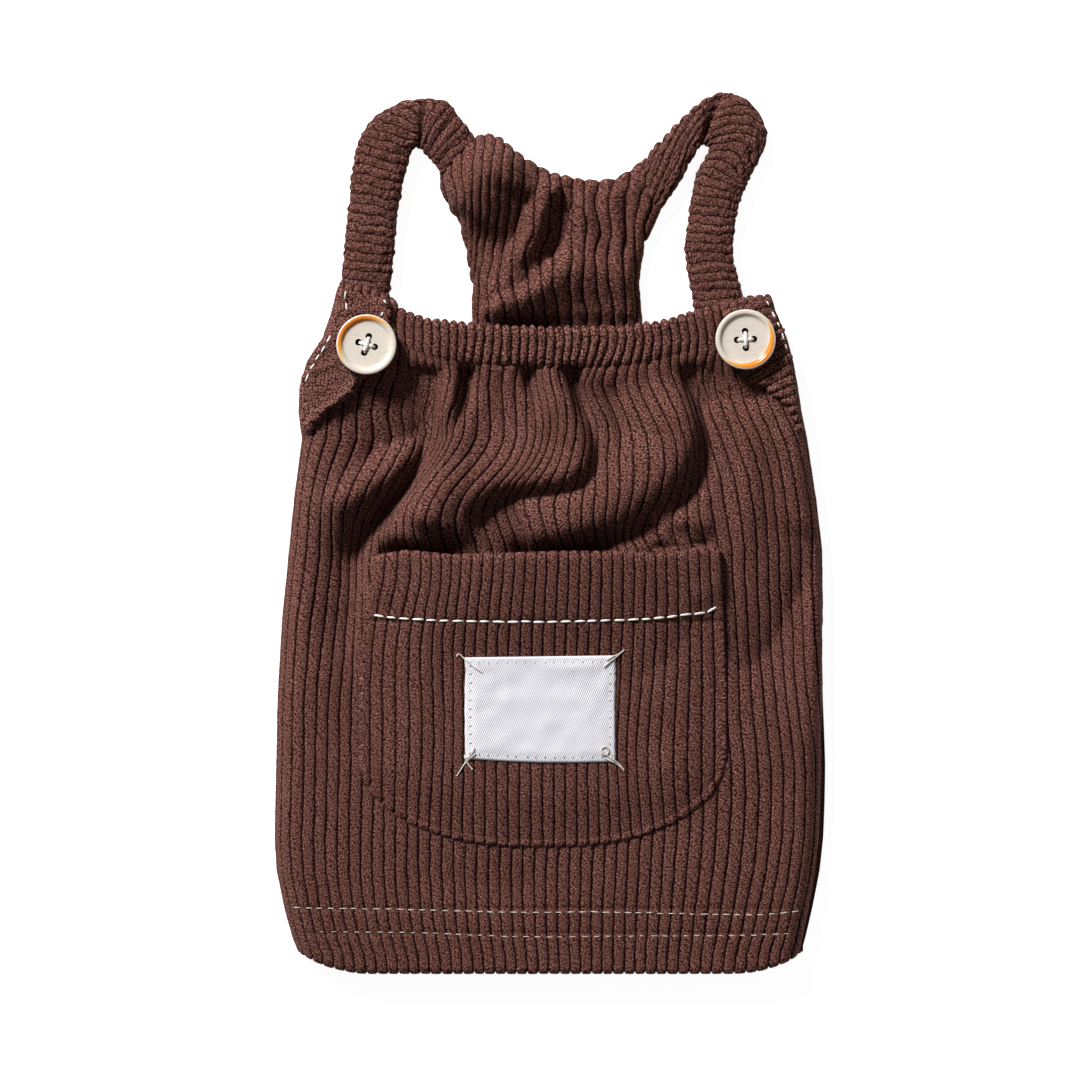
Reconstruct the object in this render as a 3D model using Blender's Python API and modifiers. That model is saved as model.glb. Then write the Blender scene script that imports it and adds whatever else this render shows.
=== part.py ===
"""Small dog's pinafore dress in wide-wale corduroy, laid flat on its back with the front up.

The body is a tube, open at the hem and at the gathered neckline. Its back runs up into a narrow
bib that is faced on the inside. Two straps, gathered on wide elastic, run from the bib's corners
over a kink at the top and down behind the front's corners, where a button is sewn on. A patch
pocket with a round bottom sits on the front, its mouth standing open, with a woven label on it.

The frame: +X is the right of someone looking at the front, +Y runs from the hem to the straps and
+Z points up from the surface that the dress lies on. The origin is under the middle of the whole
length and width. Tables and sizes are in millimetres, and MM turns them into metres.
"""

import math
from collections import namedtuple

import bmesh
import bpy
import numpy as np

MM = 0.001

# Cloth
SEAM_GAP = 0.3
CLOTH = 1.8
THIN_CLOTH = 1.3
WALE_HEIGHT = 0.7

# Body
FRONT_WALES = 48
CALM_STEPS = 9
FOLDED_STEPS = 17
FOLDED_FROM = 0.6
INNER_STEP = 4
NECK_LIFT = 3.7
NECK_LIFT_HALF_WIDTH = 38.0
CASING_DEPTH = 11.0
CASING_HEIGHT = 0.6
GATHER_WAVES = 13
GATHER_HEIGHT = 0.5
GATHER_FADE = 10.0
GATHERED_WIDTH = 96.0
GATHER_UNEVENNESS = 4.0
GATHER_DRIFT = 17.0
HEM_LEVEL = -131.9
HEM_CORNER_SHARE = 0.14
HEM_CORNER_RISE = 6.0
CENTRE_LINE = 2.0
FOLD_END = 0.08
BACK_INSET = 0.2

# Pocket and label
POCKET_WALES = 30
POCKET_LENGTH_STEPS = 13
POCKET_BOTTOM = -94.2
POCKET_ROUND_DEPTH = 31.0
POCKET_ROUND_POWER = 2.4
POCKET_MIDDLE = -1.8
POCKET_LIFT = 6.0
POCKET_LIFT_LOW = -46.0
POCKET_LIFT_HIGH = -7.0
LABEL_THICKNESS = 0.6

# Bib facing
BIB_WALES = 17
BIB_LENGTH_STEPS = 13
BIB_WALE_HEIGHT = 0.5
BIB_FLAT_EDGE = 5.0
BIB_FOLDS_START = (66.0, 76.0)

# Straps
STRAP_MIDDLE = 3.3
STRAP_RIDGE = 0.3
STRAP_RIDGE_PITCH = 2.8
STRAP_SIDES = 10
STRAP_SQUARENESS = 2.6

# Armhole facings
ARM_RIDGE_PITCH = 2.8
ARM_RIDGE_HEIGHT = 0.5
ARM_WIDTH_STEPS = 4
ARM_SCALLOP = 0.6
EDGE_ROUNDING = 1.6

# Buttons
BUTTON_RADIUS = 9.0
BUTTON_THICKNESS = 3.0
BUTTON_STEPS = 28
BUTTON_HOLE_RADIUS = 1.0
BUTTON_HOLE_CIRCLE = 2.55
BUTTON_HOLE_SIDES = 8

# The front's outline and side profile, from the hem up. The rim is the height of the wall's lower
# edge, the crown the height of its outer face, and the roll the width over which it turns down.
Section = namedtuple("Section", "y left right rim crown roll")
FRONT_SECTIONS = [
    Section(-127.0, -74.6, 74.7, 2.1, 10.4, 5.0),
    Section(-122.0, -76.6, 75.9, 2.1, 10.6, 6.0),
    Section(-114.0, -78.9, 77.5, 2.1, 10.9, 6.5),
    Section(-102.0, -81.4, 79.6, 2.1, 11.2, 6.5),
    Section(-92.0, -82.0, 80.6, 2.1, 11.3, 6.5),
    Section(-70.0, -81.5, 81.5, 2.1, 11.4, 6.5),
    Section(-50.0, -81.1, 81.5, 2.1, 11.4, 6.5),
    Section(-26.0, -79.8, 81.8, 2.1, 11.4, 6.5),
    Section(-5.0, -77.7, 81.6, 2.1, 11.4, 6.5),
    Section(10.0, -76.1, 79.8, 2.1, 11.2, 6.5),
    Section(28.0, -73.8, 77.1, 2.4, 10.2, 5.5),
    Section(36.0, -74.8, 75.4, 5.2, 9.1, 4.0),
    Section(43.5, -74.6, 74.4, 6.4, 8.4, 3.0),
    Section(51.0, -72.4, 73.0, 6.5, 8.3, 3.0),
    Section(58.0, -67.8, 71.2, 6.5, 8.3, 3.0),
    Section(66.0, -65.0, 67.8, 6.5, 8.3, 3.0),
    Section(74.0, -63.0, 65.4, 6.5, 8.3, 3.0),
]

Place = namedtuple("Place", "x y")
NECKLINE = [
    Place(-63.0, 73.4),
    Place(-53.7, 73.2),
    Place(-46.8, 70.0),
    Place(-44.0, 66.8),
    Place(-35.7, 63.6),
    Place(-20.7, 61.6),
    Place(0.3, 60.6),
    Place(18.3, 60.9),
    Place(30.3, 62.3),
    Place(42.3, 65.8),
    Place(51.9, 68.4),
    Place(58.8, 70.3),
    Place(65.4, 70.8),
]

# Soft folds that stand up from the front: a bent ridge from start over bend to end.
Fold = namedtuple("Fold", "start bend end half_width height")
FOLDS = [
    Fold(Place(-29.7, 36.0), Place(-44.7, 12.0), Place(-50.7, -2.0), 4.2, 3.0),
    Fold(Place(-44.1, 33.0), Place(-54.3, 18.6), Place(-64.0, 8.0), 3.8, 2.2),
    Fold(Place(6.0, 14.0), Place(-13.2, 13.0), Place(-22.0, 1.0), 4.4, 2.6),
    Fold(Place(-13.2, 46.0), Place(-14.5, 30.0), Place(-25.0, 14.0), 5.0, 2.2),
    Fold(Place(35.0, 42.0), Place(46.0, 22.0), Place(27.3, 12.5), 4.6, 3.8),
    Fold(Place(28.5, 13.0), Place(13.0, 9.0), Place(2.0, 1.5), 4.2, 3.4),
    Fold(Place(8.0, 46.0), Place(14.0, 32.0), Place(9.0, 20.0), 4.2, 1.8),
    Fold(Place(52.0, 44.0), Place(55.0, 22.0), Place(43.0, 2.0), 4.6, 2.2),
    Fold(Place(71.0, -9.0), Place(68.0, -28.0), Place(61.5, -44.0), 4.0, 1.2),
    Fold(Place(-66.0, -10.0), Place(-62.0, -28.0), Place(-64.0, -44.0), 4.0, 1.2),
]

BACK_HEM = [
    Place(-66.0, -130.6),
    Place(-57.0, -131.6),
    Place(57.0, -131.6),
    Place(66.0, -130.6),
]

# The back's armhole and bib, from the side seam up. The front hides the lower rows.
Edge = namedtuple("Edge", "y left right")
BACK_ARMHOLE = [
    Edge(29.0, -71.0, 74.0),
    Edge(31.0, -64.0, 67.0),
    Edge(35.0, -52.0, 56.0),
    Edge(41.0, -39.0, 44.0),
    Edge(48.0, -28.5, 33.5),
    Edge(54.6, -22.6, 27.8),
]
BIB_SIDES = [
    Edge(54.6, -22.1, 27.3),
    Edge(62.1, -22.2, 27.3),
    Edge(74.7, -22.6, 26.4),
    Edge(81.0, -23.7, 27.0),
    Edge(87.6, -24.9, 28.6),
    Edge(95.4, -27.3, 32.2),
    Edge(98.1, -29.9, 33.3),
    Edge(103.8, -32.1, 33.3),
    Edge(108.3, -32.4, 33.3),
]
BIB_TOP = [
    Place(-32.4, 108.3),
    Place(-28.2, 113.1),
    Place(-22.5, 118.5),
    Place(-18.6, 119.4),
    Place(-14.7, 118.2),
    Place(-11.1, 114.9),
    Place(-7.2, 111.9),
    Place(0.0, 108.0),
    Place(9.6, 105.6),
    Place(15.3, 105.3),
    Place(21.3, 106.2),
    Place(27.9, 111.0),
    Place(30.3, 105.6),
    Place(33.3, 98.1),
]
BIB_FOLDS = [
    Fold(Place(8.0, 104.0), Place(-4.0, 92.0), Place(-15.0, 72.0), 4.0, 1.6),
    Fold(Place(22.0, 100.0), Place(14.0, 88.0), Place(6.0, 72.0), 4.0, 1.2),
    Fold(Place(-27.0, 106.0), Place(-20.0, 98.0), Place(-12.0, 90.0), 4.0, 1.2),
]

# Strap cross-sections from under the front's corner to the bib: each runs from the strap's outer
# edge to its inner edge, and they fan round the kink at the top.
Cross = namedtuple("Cross", "outer_x outer_y inner_x inner_y thickness")
STRAP_LEFT = [
    Cross(-62.4, 61.5, -48.6, 61.5, 4.2),
    Cross(-62.8, 69.6, -48.4, 69.6, 4.6),
    Cross(-62.5, 76.8, -47.7, 76.8, 5.2),
    Cross(-61.5, 84.6, -46.8, 84.6, 5.4),
    Cross(-60.9, 92.4, -46.2, 92.4, 5.4),
    Cross(-60.0, 99.6, -45.3, 99.6, 5.4),
    Cross(-59.4, 106.8, -43.5, 107.4, 5.4),
    Cross(-58.2, 114.0, -42.0, 113.4, 5.4),
    Cross(-55.8, 120.6, -41.2, 115.0, 5.6),
    Cross(-51.3, 125.7, -40.5, 115.9, 5.8),
    Cross(-44.7, 129.3, -39.9, 116.2, 5.8),
    Cross(-37.8, 130.4, -39.2, 116.0, 5.8),
    Cross(-31.2, 129.6, -37.8, 114.8, 5.4),
    Cross(-27.3, 125.4, -35.6, 112.4, 4.8),
    Cross(-23.2, 119.5, -33.0, 109.1, 4.0),
]
STRAP_RIGHT = [
    Cross(57.9, 60.0, 43.7, 60.0, 4.2),
    Cross(58.6, 69.0, 43.5, 69.6, 4.6),
    Cross(56.9, 76.5, 42.2, 76.2, 5.2),
    Cross(55.4, 82.2, 41.4, 82.2, 5.0),
    Cross(55.5, 88.8, 41.1, 87.6, 5.4),
    Cross(56.4, 95.1, 42.3, 94.8, 5.4),
    Cross(57.9, 101.4, 43.2, 101.4, 5.4),
    Cross(60.6, 107.0, 44.4, 107.4, 5.4),
    Cross(63.2, 112.0, 46.8, 112.2, 5.6),
    Cross(65.4, 117.6, 48.4, 115.0, 5.8),
    Cross(64.5, 123.6, 48.2, 116.0, 6.0),
    Cross(61.0, 128.6, 47.6, 116.7, 6.0),
    Cross(56.0, 131.8, 46.8, 117.0, 5.8),
    Cross(50.6, 131.6, 46.0, 116.7, 5.4),
    Cross(45.3, 128.9, 44.8, 115.4, 5.2),
    Cross(40.5, 124.8, 42.8, 112.2, 5.2),
    Cross(35.7, 119.6, 40.5, 108.0, 5.0),
    Cross(31.4, 115.2, 37.2, 102.6, 4.4),
    Cross(28.6, 111.6, 34.2, 98.6, 4.0),
]

# Armhole facings, from the corner under the button down to the side seam: each row runs from the
# armhole edge to the facing's inner edge.
Across = namedtuple("Across", "edge_x edge_y inner_x inner_y")
ARMHOLE_LEFT = [
    Across(-62.6, 72.8, -48.2, 70.0),
    Across(-63.4, 69.6, -47.6, 66.4),
    Across(-64.6, 66.0, -47.6, 61.5),
    Across(-66.3, 60.0, -48.6, 55.5),
    Across(-69.2, 55.8, -51.8, 49.6),
    Across(-72.1, 51.0, -56.1, 44.6),
    Across(-74.2, 43.8, -60.9, 40.4),
    Across(-74.5, 38.8, -65.1, 37.0),
    Across(-74.4, 34.0, -69.4, 33.4),
    Across(-73.8, 30.0, -71.8, 29.6),
]
ARMHOLE_RIGHT = [
    Across(65.2, 70.2, 52.4, 66.8),
    Across(67.0, 66.8, 52.2, 62.1),
    Across(69.3, 62.6, 52.4, 55.5),
    Across(71.1, 57.6, 55.6, 49.0),
    Across(72.8, 51.0, 62.0, 44.6),
    Across(74.2, 42.6, 68.1, 40.4),
    Across(75.1, 36.6, 72.2, 35.4),
    Across(76.5, 30.2, 74.5, 29.6),
]

# The pocket's side edges from its round bottom up, and its mouth from left to right.
POCKET_SIDES = [
    Edge(-64.0, -57.0, 53.2),
    Edge(-46.0, -57.0, 53.2),
    Edge(-33.0, -56.1, 52.7),
    Edge(-21.0, -54.3, 52.1),
    Edge(-14.0, -52.8, 51.6),
    Edge(-5.0, -51.9, 51.0),
]
POCKET_MOUTH = [
    Place(-52.2, -7.6),
    Place(-43.5, -6.0),
    Place(-30.6, -7.2),
    Place(-14.7, -6.9),
    Place(1.8, -6.3),
    Place(18.3, -6.3),
    Place(28.2, -6.9),
    Place(39.3, -6.4),
    Place(44.4, -5.2),
    Place(51.0, -5.4),
]

LABEL_CORNERS = [
    Place(-25.2, -67.8),
    Place(19.8, -68.7),
    Place(19.8, -36.9),
    Place(-25.2, -37.5),
]
BUTTONS = {"button_left": Place(-54.6, 56.1), "button_right": Place(58.8, 57.6)}

# The button's turned half profile: how far out and how high above its underside.
BUTTON_PROFILE = [
    (0.0, 2.0),
    (6.2, 2.0),
    (7.2, 2.8),
    (8.2, 3.0),
    (8.9, 2.5),
    (9.0, 1.4),
    (8.2, 0.3),
    (6.6, 0.0),
    (0.0, 0.0),
]

CORDUROY = {"color": (0.075, 0.030, 0.024), "roughness": 0.95}
WHITE_TWILL = {"color": (0.82, 0.83, 0.86), "roughness": 0.7}
HORN_PLASTIC = {"color": (0.80, 0.74, 0.66), "roughness": 0.3}


def clear_scene():
    for thing in list(bpy.data.objects):
        bpy.data.objects.remove(thing, do_unlink=True)


def new_collection(name):
    collection = bpy.data.collections.new(name)
    bpy.context.scene.collection.children.link(collection)
    return collection


def new_material(name, finish):
    material = bpy.data.materials.new(name)
    material.use_nodes = True
    shader = material.node_tree.nodes["Principled BSDF"]
    shader.inputs["Base Color"].default_value = (*finish["color"], 1.0)
    shader.inputs["Roughness"].default_value = finish["roughness"]
    shader.inputs["Metallic"].default_value = 0.0
    return material


def add_object(name, bm, finish, collection):
    """Turns a finished bmesh, in millimetres, into a named object in metres."""
    bmesh.ops.scale(bm, vec=(MM, MM, MM), verts=bm.verts)
    bmesh.ops.recalc_face_normals(bm, faces=bm.faces)
    mesh = bpy.data.meshes.new(name)
    bm.to_mesh(mesh)
    bm.free()
    mesh.materials.append(new_material(name, finish))
    mesh.shade_smooth()
    mesh.set_sharp_from_angle(angle=math.radians(40))
    obj = bpy.data.objects.new(name, mesh)
    collection.objects.link(obj)
    return obj


def column(table, field):
    return np.array([getattr(row, field) for row in table])


def along(table, field, y):
    """Reads one column of a table that is ordered by y."""
    return np.interp(y, column(table, "y"), column(table, field))


def smoothstep(low, high, value):
    t = np.clip((value - low) / (high - low), 0.0, 1.0)
    return t * t * (3.0 - 2.0 * t)


def smooth_rows(table, count):
    """Reads a table as a smooth curve, at places evenly spaced along its middle line."""
    rows = np.array(table, float)
    ends = np.vstack([2 * rows[0] - rows[1], rows, 2 * rows[-1] - rows[-2]])
    dense = []
    for i in range(1, len(ends) - 2):
        a, b, c, d = ends[i - 1 : i + 3]
        for t in np.arange(0.0, 1.0, 0.05):
            swing = (c - a) * t + (2 * a - 5 * b + 4 * c - d) * t**2 + (3 * b - a - 3 * c + d) * t**3
            dense.append(b + 0.5 * swing)
    dense = np.array(dense + [rows[-1]])
    middle = (dense[:, 0:2] + dense[:, 2:4]) / 2
    run = np.concatenate([[0], np.cumsum(np.linalg.norm(np.diff(middle, axis=0), axis=1))])
    places = np.linspace(0, run[-1], count)
    return np.stack([np.interp(places, run, dense[:, k]) for k in range(rows.shape[1])], axis=1)


def middle_length(table):
    rows = np.array(table, float)
    middle = (rows[:, 0:2] + rows[:, 2:4]) / 2
    return np.linalg.norm(np.diff(middle, axis=0), axis=1).sum()


def fold_height(folds, x, y):
    """Adds up the soft ridges: each is round across and dies away at both ends."""
    total = np.zeros_like(x)
    for fold in folds:
        best = np.zeros_like(x)
        for t in np.linspace(0, 1, 25):
            cx = (1 - t) ** 2 * fold.start.x + 2 * t * (1 - t) * fold.bend.x + t * t * fold.end.x
            cy = (1 - t) ** 2 * fold.start.y + 2 * t * (1 - t) * fold.bend.y + t * t * fold.end.y
            away = ((x - cx) ** 2 + (y - cy) ** 2) / fold.half_width**2
            fullness = math.sin(math.pi * (FOLD_END + (1 - 2 * FOLD_END) * t))
            best = np.maximum(best, fullness * np.exp(-away))
        total += fold.height * best
    return total


def front_extras(x, y):
    """The neckline's lift, its elastic casing and gathers, and the folds below it."""
    neck = np.interp(x, column(NECKLINE, "x"), column(NECKLINE, "y"))
    below = neck - y
    middle = 1.0 / (1.0 + (np.abs(x - CENTRE_LINE) / NECK_LIFT_HALF_WIDTH) ** 8)
    lift = NECK_LIFT * middle * smoothstep(20.0, 58.0, y)
    casing = CASING_HEIGHT * middle * (1 - smoothstep(CASING_DEPTH - 3, CASING_DEPTH, below))
    fade = np.exp(-np.maximum(below - CASING_DEPTH, 0) / GATHER_FADE)
    fade = fade * smoothstep(CASING_DEPTH - 1, CASING_DEPTH + 5, below)
    uneven = x + GATHER_UNEVENNESS * np.sin(x / GATHER_DRIFT)
    waves = np.cos(math.tau * GATHER_WAVES * uneven / GATHERED_WIDTH)
    return lift + casing + GATHER_HEIGHT * middle * fade * waves + fold_height(FOLDS, x, y)


def front_height(x, y):
    """Height of the front's outer face, without its wales."""
    inside = np.minimum(x - along(FRONT_SECTIONS, "left", y), along(FRONT_SECTIONS, "right", y) - x)
    part = np.clip(inside / along(FRONT_SECTIONS, "roll", y), 0, 1)
    rim = along(FRONT_SECTIONS, "rim", y)
    crown = along(FRONT_SECTIONS, "crown", y)
    rise = np.sqrt(1 - (1 - part) ** 2)
    return rim + (crown - rim) * rise + smoothstep(0, 1, part) * front_extras(x, y)


def height_on_front(x, y):
    """The same for what lies on the front near an edge: it bridges the edge's rounding."""
    left = along(FRONT_SECTIONS, "left", y) + EDGE_ROUNDING
    right = along(FRONT_SECTIONS, "right", y) - EDGE_ROUNDING
    return front_height(np.clip(x, left, right), y) + WALE_HEIGHT + SEAM_GAP


def front_surface(across, up):
    """The front's outer face at fractions across the cut cloth and up its length."""
    across, up = np.meshgrid(across, up)
    corner = np.minimum(np.minimum(across, 1 - across) / HEM_CORNER_SHARE, 1)
    low = HEM_LEVEL + HEM_CORNER_RISE * (1 - corner) ** 2
    top = FRONT_SECTIONS[-1]
    top_x = top.left + across * (top.right - top.left)
    high = np.interp(top_x, column(NECKLINE, "x"), column(NECKLINE, "y"))
    y = low + (high - low) * up
    left = along(FRONT_SECTIONS, "left", y)
    right = along(FRONT_SECTIONS, "right", y)
    roll = along(FRONT_SECTIONS, "roll", y)
    drop = along(FRONT_SECTIONS, "crown", y) - along(FRONT_SECTIONS, "rim", y)
    turn = math.pi / 2 * np.sqrt((roll**2 + drop**2) / 2)
    cloth = right - left - 2 * roll + 2 * turn
    run = across * cloth
    near = np.minimum(run, cloth - run)
    turned = roll * (1 - np.cos(math.pi / 2 * np.clip(near / turn, 0, 1)))
    inside = np.where(near < turn, turned, roll + near - turn)
    x = np.where(across < 0.5, left + inside, right - inside)
    return np.stack([x, y, front_height(x, y)], axis=-1)


def normals_of(surface):
    slope_up, slope_across = np.gradient(surface, axis=0), np.gradient(surface, axis=1)
    normal = np.cross(slope_across, slope_up)
    return normal / np.linalg.norm(normal, axis=-1, keepdims=True)


def wale_steps(wales):
    """Fractions across the cloth: groove, ridge, groove and so on."""
    return np.linspace(0, 1, 2 * wales + 1)


def raise_wales(surface, direction, height):
    raised = surface.copy()
    raised[:, 1::2] += height * direction[:, 1::2]
    return raised


def add_grid(bm, points):
    """Adds an open grid and moves its points into place. Returns them in rows."""
    rows, columns = points.shape[:2]
    made = bmesh.ops.create_grid(bm, x_segments=columns - 1, y_segments=rows - 1, size=0.5)["verts"]
    made = sorted(made, key=lambda vert: (round(vert.co.y, 5), round(vert.co.x, 5)))
    for vert, place in zip(made, points.reshape(-1, 3)):
        vert.co = place
    return [made[row * columns : (row + 1) * columns] for row in range(rows)]


def join_edges(bm, fine, coarse):
    """Closes the rim between a fine edge and a coarse one that has a whole fraction of its points."""
    step = (len(fine) - 1) // (len(coarse) - 1)
    half = step // 2
    for i in range(len(coarse) - 1):
        first = i * step
        for j in range(step):
            corner = coarse[i] if j < half else coarse[i + 1]
            bm.faces.new((fine[first + j], fine[first + j + 1], corner))
        bm.faces.new((coarse[i], fine[first + half], coarse[i + 1]))


def cloth_wall(name, outer, inner, finish, collection):
    """A closed wall of cloth between a waled outer face and a plain inner one."""
    bm = bmesh.new()
    outer_rows = add_grid(bm, outer)
    inner_rows = add_grid(bm, inner)
    join_edges(bm, outer_rows[0], inner_rows[0])
    join_edges(bm, outer_rows[-1], inner_rows[-1])
    for side in (0, -1):
        join_edges(bm, [row[side] for row in outer_rows], [row[side] for row in inner_rows])
    return add_object(name, bm, finish, collection)


def make_front(collection):
    across = wale_steps(FRONT_WALES)
    lower = np.linspace(0.0, FOLDED_FROM, CALM_STEPS + 1)[:-1]
    upper = np.linspace(FOLDED_FROM, 1.0, FOLDED_STEPS + 1)
    up = np.concatenate([lower, upper])
    plain = front_surface(across, up)
    direction = normals_of(plain)
    inner = (plain - CLOTH * direction)[:, ::INNER_STEP]
    inner[..., 2] = np.maximum(inner[..., 2], along(FRONT_SECTIONS, "rim", inner[..., 1]))
    outer = raise_wales(plain, direction, WALE_HEIGHT)
    return cloth_wall("front", outer, inner, CORDUROY, collection)


def back_outline():
    """The back's outline, from the left side seam round by the hem, and back by the bib."""
    left, right = [], []
    for section in FRONT_SECTIONS:
        if section.y < BACK_ARMHOLE[0].y:
            left.append(Place(section.left + BACK_INSET, section.y))
            right.append(Place(section.right - BACK_INSET, section.y))
    for edge in BACK_ARMHOLE + BIB_SIDES[1:]:
        left.append(Place(edge.left, edge.y))
        right.append(Place(edge.right, edge.y))
    right = [place for place in right if place.y < BIB_TOP[-1].y]
    left = [place for place in left if place.y < BIB_TOP[0].y]
    return left[::-1] + BACK_HEM + right + BIB_TOP[::-1]


def make_back(collection):
    curve = bpy.data.curves.new("back", "CURVE")
    curve.dimensions = "2D"
    curve.fill_mode = "BOTH"
    curve.extrude = CLOTH * MM / 2
    places = back_outline()
    spline = curve.splines.new("POLY")
    spline.points.add(len(places) - 1)
    for point, place in zip(spline.points, places):
        point.co = (place.x * MM, place.y * MM, 0.0, 1.0)
    spline.use_cyclic_u = True
    curve.materials.append(new_material("back", CORDUROY))
    obj = bpy.data.objects.new("back", curve)
    obj.location.z = CLOTH * MM / 2
    collection.objects.link(obj)
    return obj


def make_back_facing(collection):
    across, up = np.meshgrid(wale_steps(BIB_WALES), np.linspace(0, 1, BIB_LENGTH_STEPS))
    sides = BIB_SIDES
    top_x = sides[-1].left + across * (sides[-1].right - sides[-1].left)
    high = np.interp(top_x, column(BIB_TOP, "x"), column(BIB_TOP, "y"))
    y = sides[0].y + (high - sides[0].y) * up
    left, right = along(sides, "left", y), along(sides, "right", y)
    x = left + across * (right - left)
    inside = np.minimum(x - left, right - x)
    flat_edge = smoothstep(0, BIB_FLAT_EDGE, inside) * smoothstep(*BIB_FOLDS_START, y)
    folds = flat_edge * fold_height(BIB_FOLDS, x, y)
    lower = np.stack([x, y, CLOTH + SEAM_GAP + folds / 2], axis=-1)
    plain = np.stack([x, y, CLOTH + SEAM_GAP + THIN_CLOTH + folds], axis=-1)
    outer = raise_wales(plain, normals_of(plain), BIB_WALE_HEIGHT)
    return cloth_wall("back_facing", outer, lower[:, ::2], CORDUROY, collection)


def pocket_height(x, y):
    """Height of the pocket's inner face, which stands off the front at the mouth."""
    half = 0.5 * (POCKET_SIDES[-1].right - POCKET_SIDES[-1].left)
    bow = np.maximum(1 - ((x - POCKET_MIDDLE) / half) ** 2, 0)
    open_by = POCKET_LIFT * bow * smoothstep(POCKET_LIFT_LOW, POCKET_LIFT_HIGH, y)
    return height_on_front(x, y) + open_by


def pocket_surface(across, up):
    """The pocket's inner face at fractions across and up: the bottom corners are round."""
    across, up = np.meshgrid(across, up)
    side = np.abs(2 * across - 1)
    round_off = 1 - (1 - side**POCKET_ROUND_POWER) ** (1 / POCKET_ROUND_POWER)
    low = POCKET_BOTTOM + POCKET_ROUND_DEPTH * round_off
    mouth_x = POCKET_MOUTH[0].x + across * (POCKET_MOUTH[-1].x - POCKET_MOUTH[0].x)
    high = np.interp(mouth_x, column(POCKET_MOUTH, "x"), column(POCKET_MOUTH, "y"))
    y = low + (high - low) * up
    left, right = along(POCKET_SIDES, "left", y), along(POCKET_SIDES, "right", y)
    x = left + across * (right - left)
    return np.stack([x, y, pocket_height(x, y)], axis=-1)


def make_pocket(collection):
    inner = pocket_surface(wale_steps(POCKET_WALES), np.linspace(0, 1, POCKET_LENGTH_STEPS))
    direction = normals_of(inner)
    outer = raise_wales(inner + THIN_CLOTH * direction, direction, WALE_HEIGHT)
    return cloth_wall("pocket", outer, inner[:, ::INNER_STEP], CORDUROY, collection)


def make_label(collection):
    low_left, low_right, high_right, high_left = [np.array(place) for place in LABEL_CORNERS]
    across, up = np.meshgrid(np.linspace(0, 1, 11), np.linspace(0, 1, 8))
    across, up = across[..., None], up[..., None]
    low = low_left + across * (low_right - low_left)
    high = high_left + across * (high_right - high_left)
    flat = low + up * (high - low)
    x, y = flat[..., 0], flat[..., 1]
    under = pocket_height(x, y) + THIN_CLOTH + WALE_HEIGHT + SEAM_GAP
    lower = np.stack([x, y, under], axis=-1)
    upper = lower + (0, 0, LABEL_THICKNESS)
    return cloth_wall("label", upper, lower, WHITE_TWILL, collection)


def strap_rings(table):
    """Oval rings along a strap, every second one drawn in to part the ridges."""
    ridges = round(middle_length(table) / STRAP_RIDGE_PITCH)
    rows = smooth_rows(table, 2 * ridges + 1)
    angles = np.linspace(0, math.tau, STRAP_SIDES + 1)
    power = 2 / STRAP_SQUARENESS
    out = np.sign(np.cos(angles)) * np.abs(np.cos(angles)) ** power
    up = np.sign(np.sin(angles)) * np.abs(np.sin(angles)) ** power
    rings = []
    for i, (outer_x, outer_y, inner_x, inner_y, thickness) in enumerate(rows):
        ridge = STRAP_RIDGE * (1 if i % 2 else -1)
        half = (np.array([outer_x, outer_y]) - (inner_x, inner_y)) / 2
        width = np.linalg.norm(half)
        middle = (np.array([outer_x, outer_y]) + (inner_x, inner_y)) / 2
        flat = middle + np.outer(out, half * (width + ridge) / width)
        height = STRAP_MIDDLE + up * (thickness / 2 + ridge)
        rings.append(np.column_stack([flat, height]))
    return np.array(rings)


def make_strap(name, table, collection):
    bm = bmesh.new()
    add_grid(bm, strap_rings(table))
    bmesh.ops.remove_doubles(bm, verts=bm.verts, dist=0.001)
    bmesh.ops.holes_fill(bm, edges=[edge for edge in bm.edges if edge.is_boundary], sides=0)
    return add_object(name, bm, CORDUROY, collection)


def facing_surface(table, columns):
    """An armhole facing's inner face: along the armhole edge, and from it inwards."""
    rows = smooth_rows(table, columns)
    outward = rows[:, 0:2] - rows[:, 2:4]
    outward /= np.linalg.norm(outward, axis=1, keepdims=True)
    rows[1::2, 0:2] += ARM_SCALLOP * outward[1::2]
    share = np.linspace(0, 1, ARM_WIDTH_STEPS + 1)[:, None]
    x = rows[:, 0] + share * (rows[:, 2] - rows[:, 0])
    y = rows[:, 1] + share * (rows[:, 3] - rows[:, 1])
    return np.stack([x, y, height_on_front(x, y)], axis=-1)


def make_armhole_facing(name, table, collection):
    ridges = round(middle_length(table) / ARM_RIDGE_PITCH)
    inner = facing_surface(table, 2 * ridges + 1)
    upward = np.zeros_like(inner)
    upward[..., 2] = 1.0
    outer = raise_wales(inner + THIN_CLOTH * upward, upward, ARM_RIDGE_HEIGHT)
    return cloth_wall(name, outer, inner[:, ::2], CORDUROY, collection)


def button_level(place):
    """Where a button's flat underside lies: just clear of the highest cloth under it."""
    radius, angle = np.meshgrid(np.linspace(0, BUTTON_RADIUS, 9), np.linspace(0, math.tau, 37))
    x = place.x + radius * np.cos(angle)
    y = place.y + radius * np.sin(angle)
    return height_on_front(x, y).max() + THIN_CLOTH + ARM_RIDGE_HEIGHT + SEAM_GAP


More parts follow.
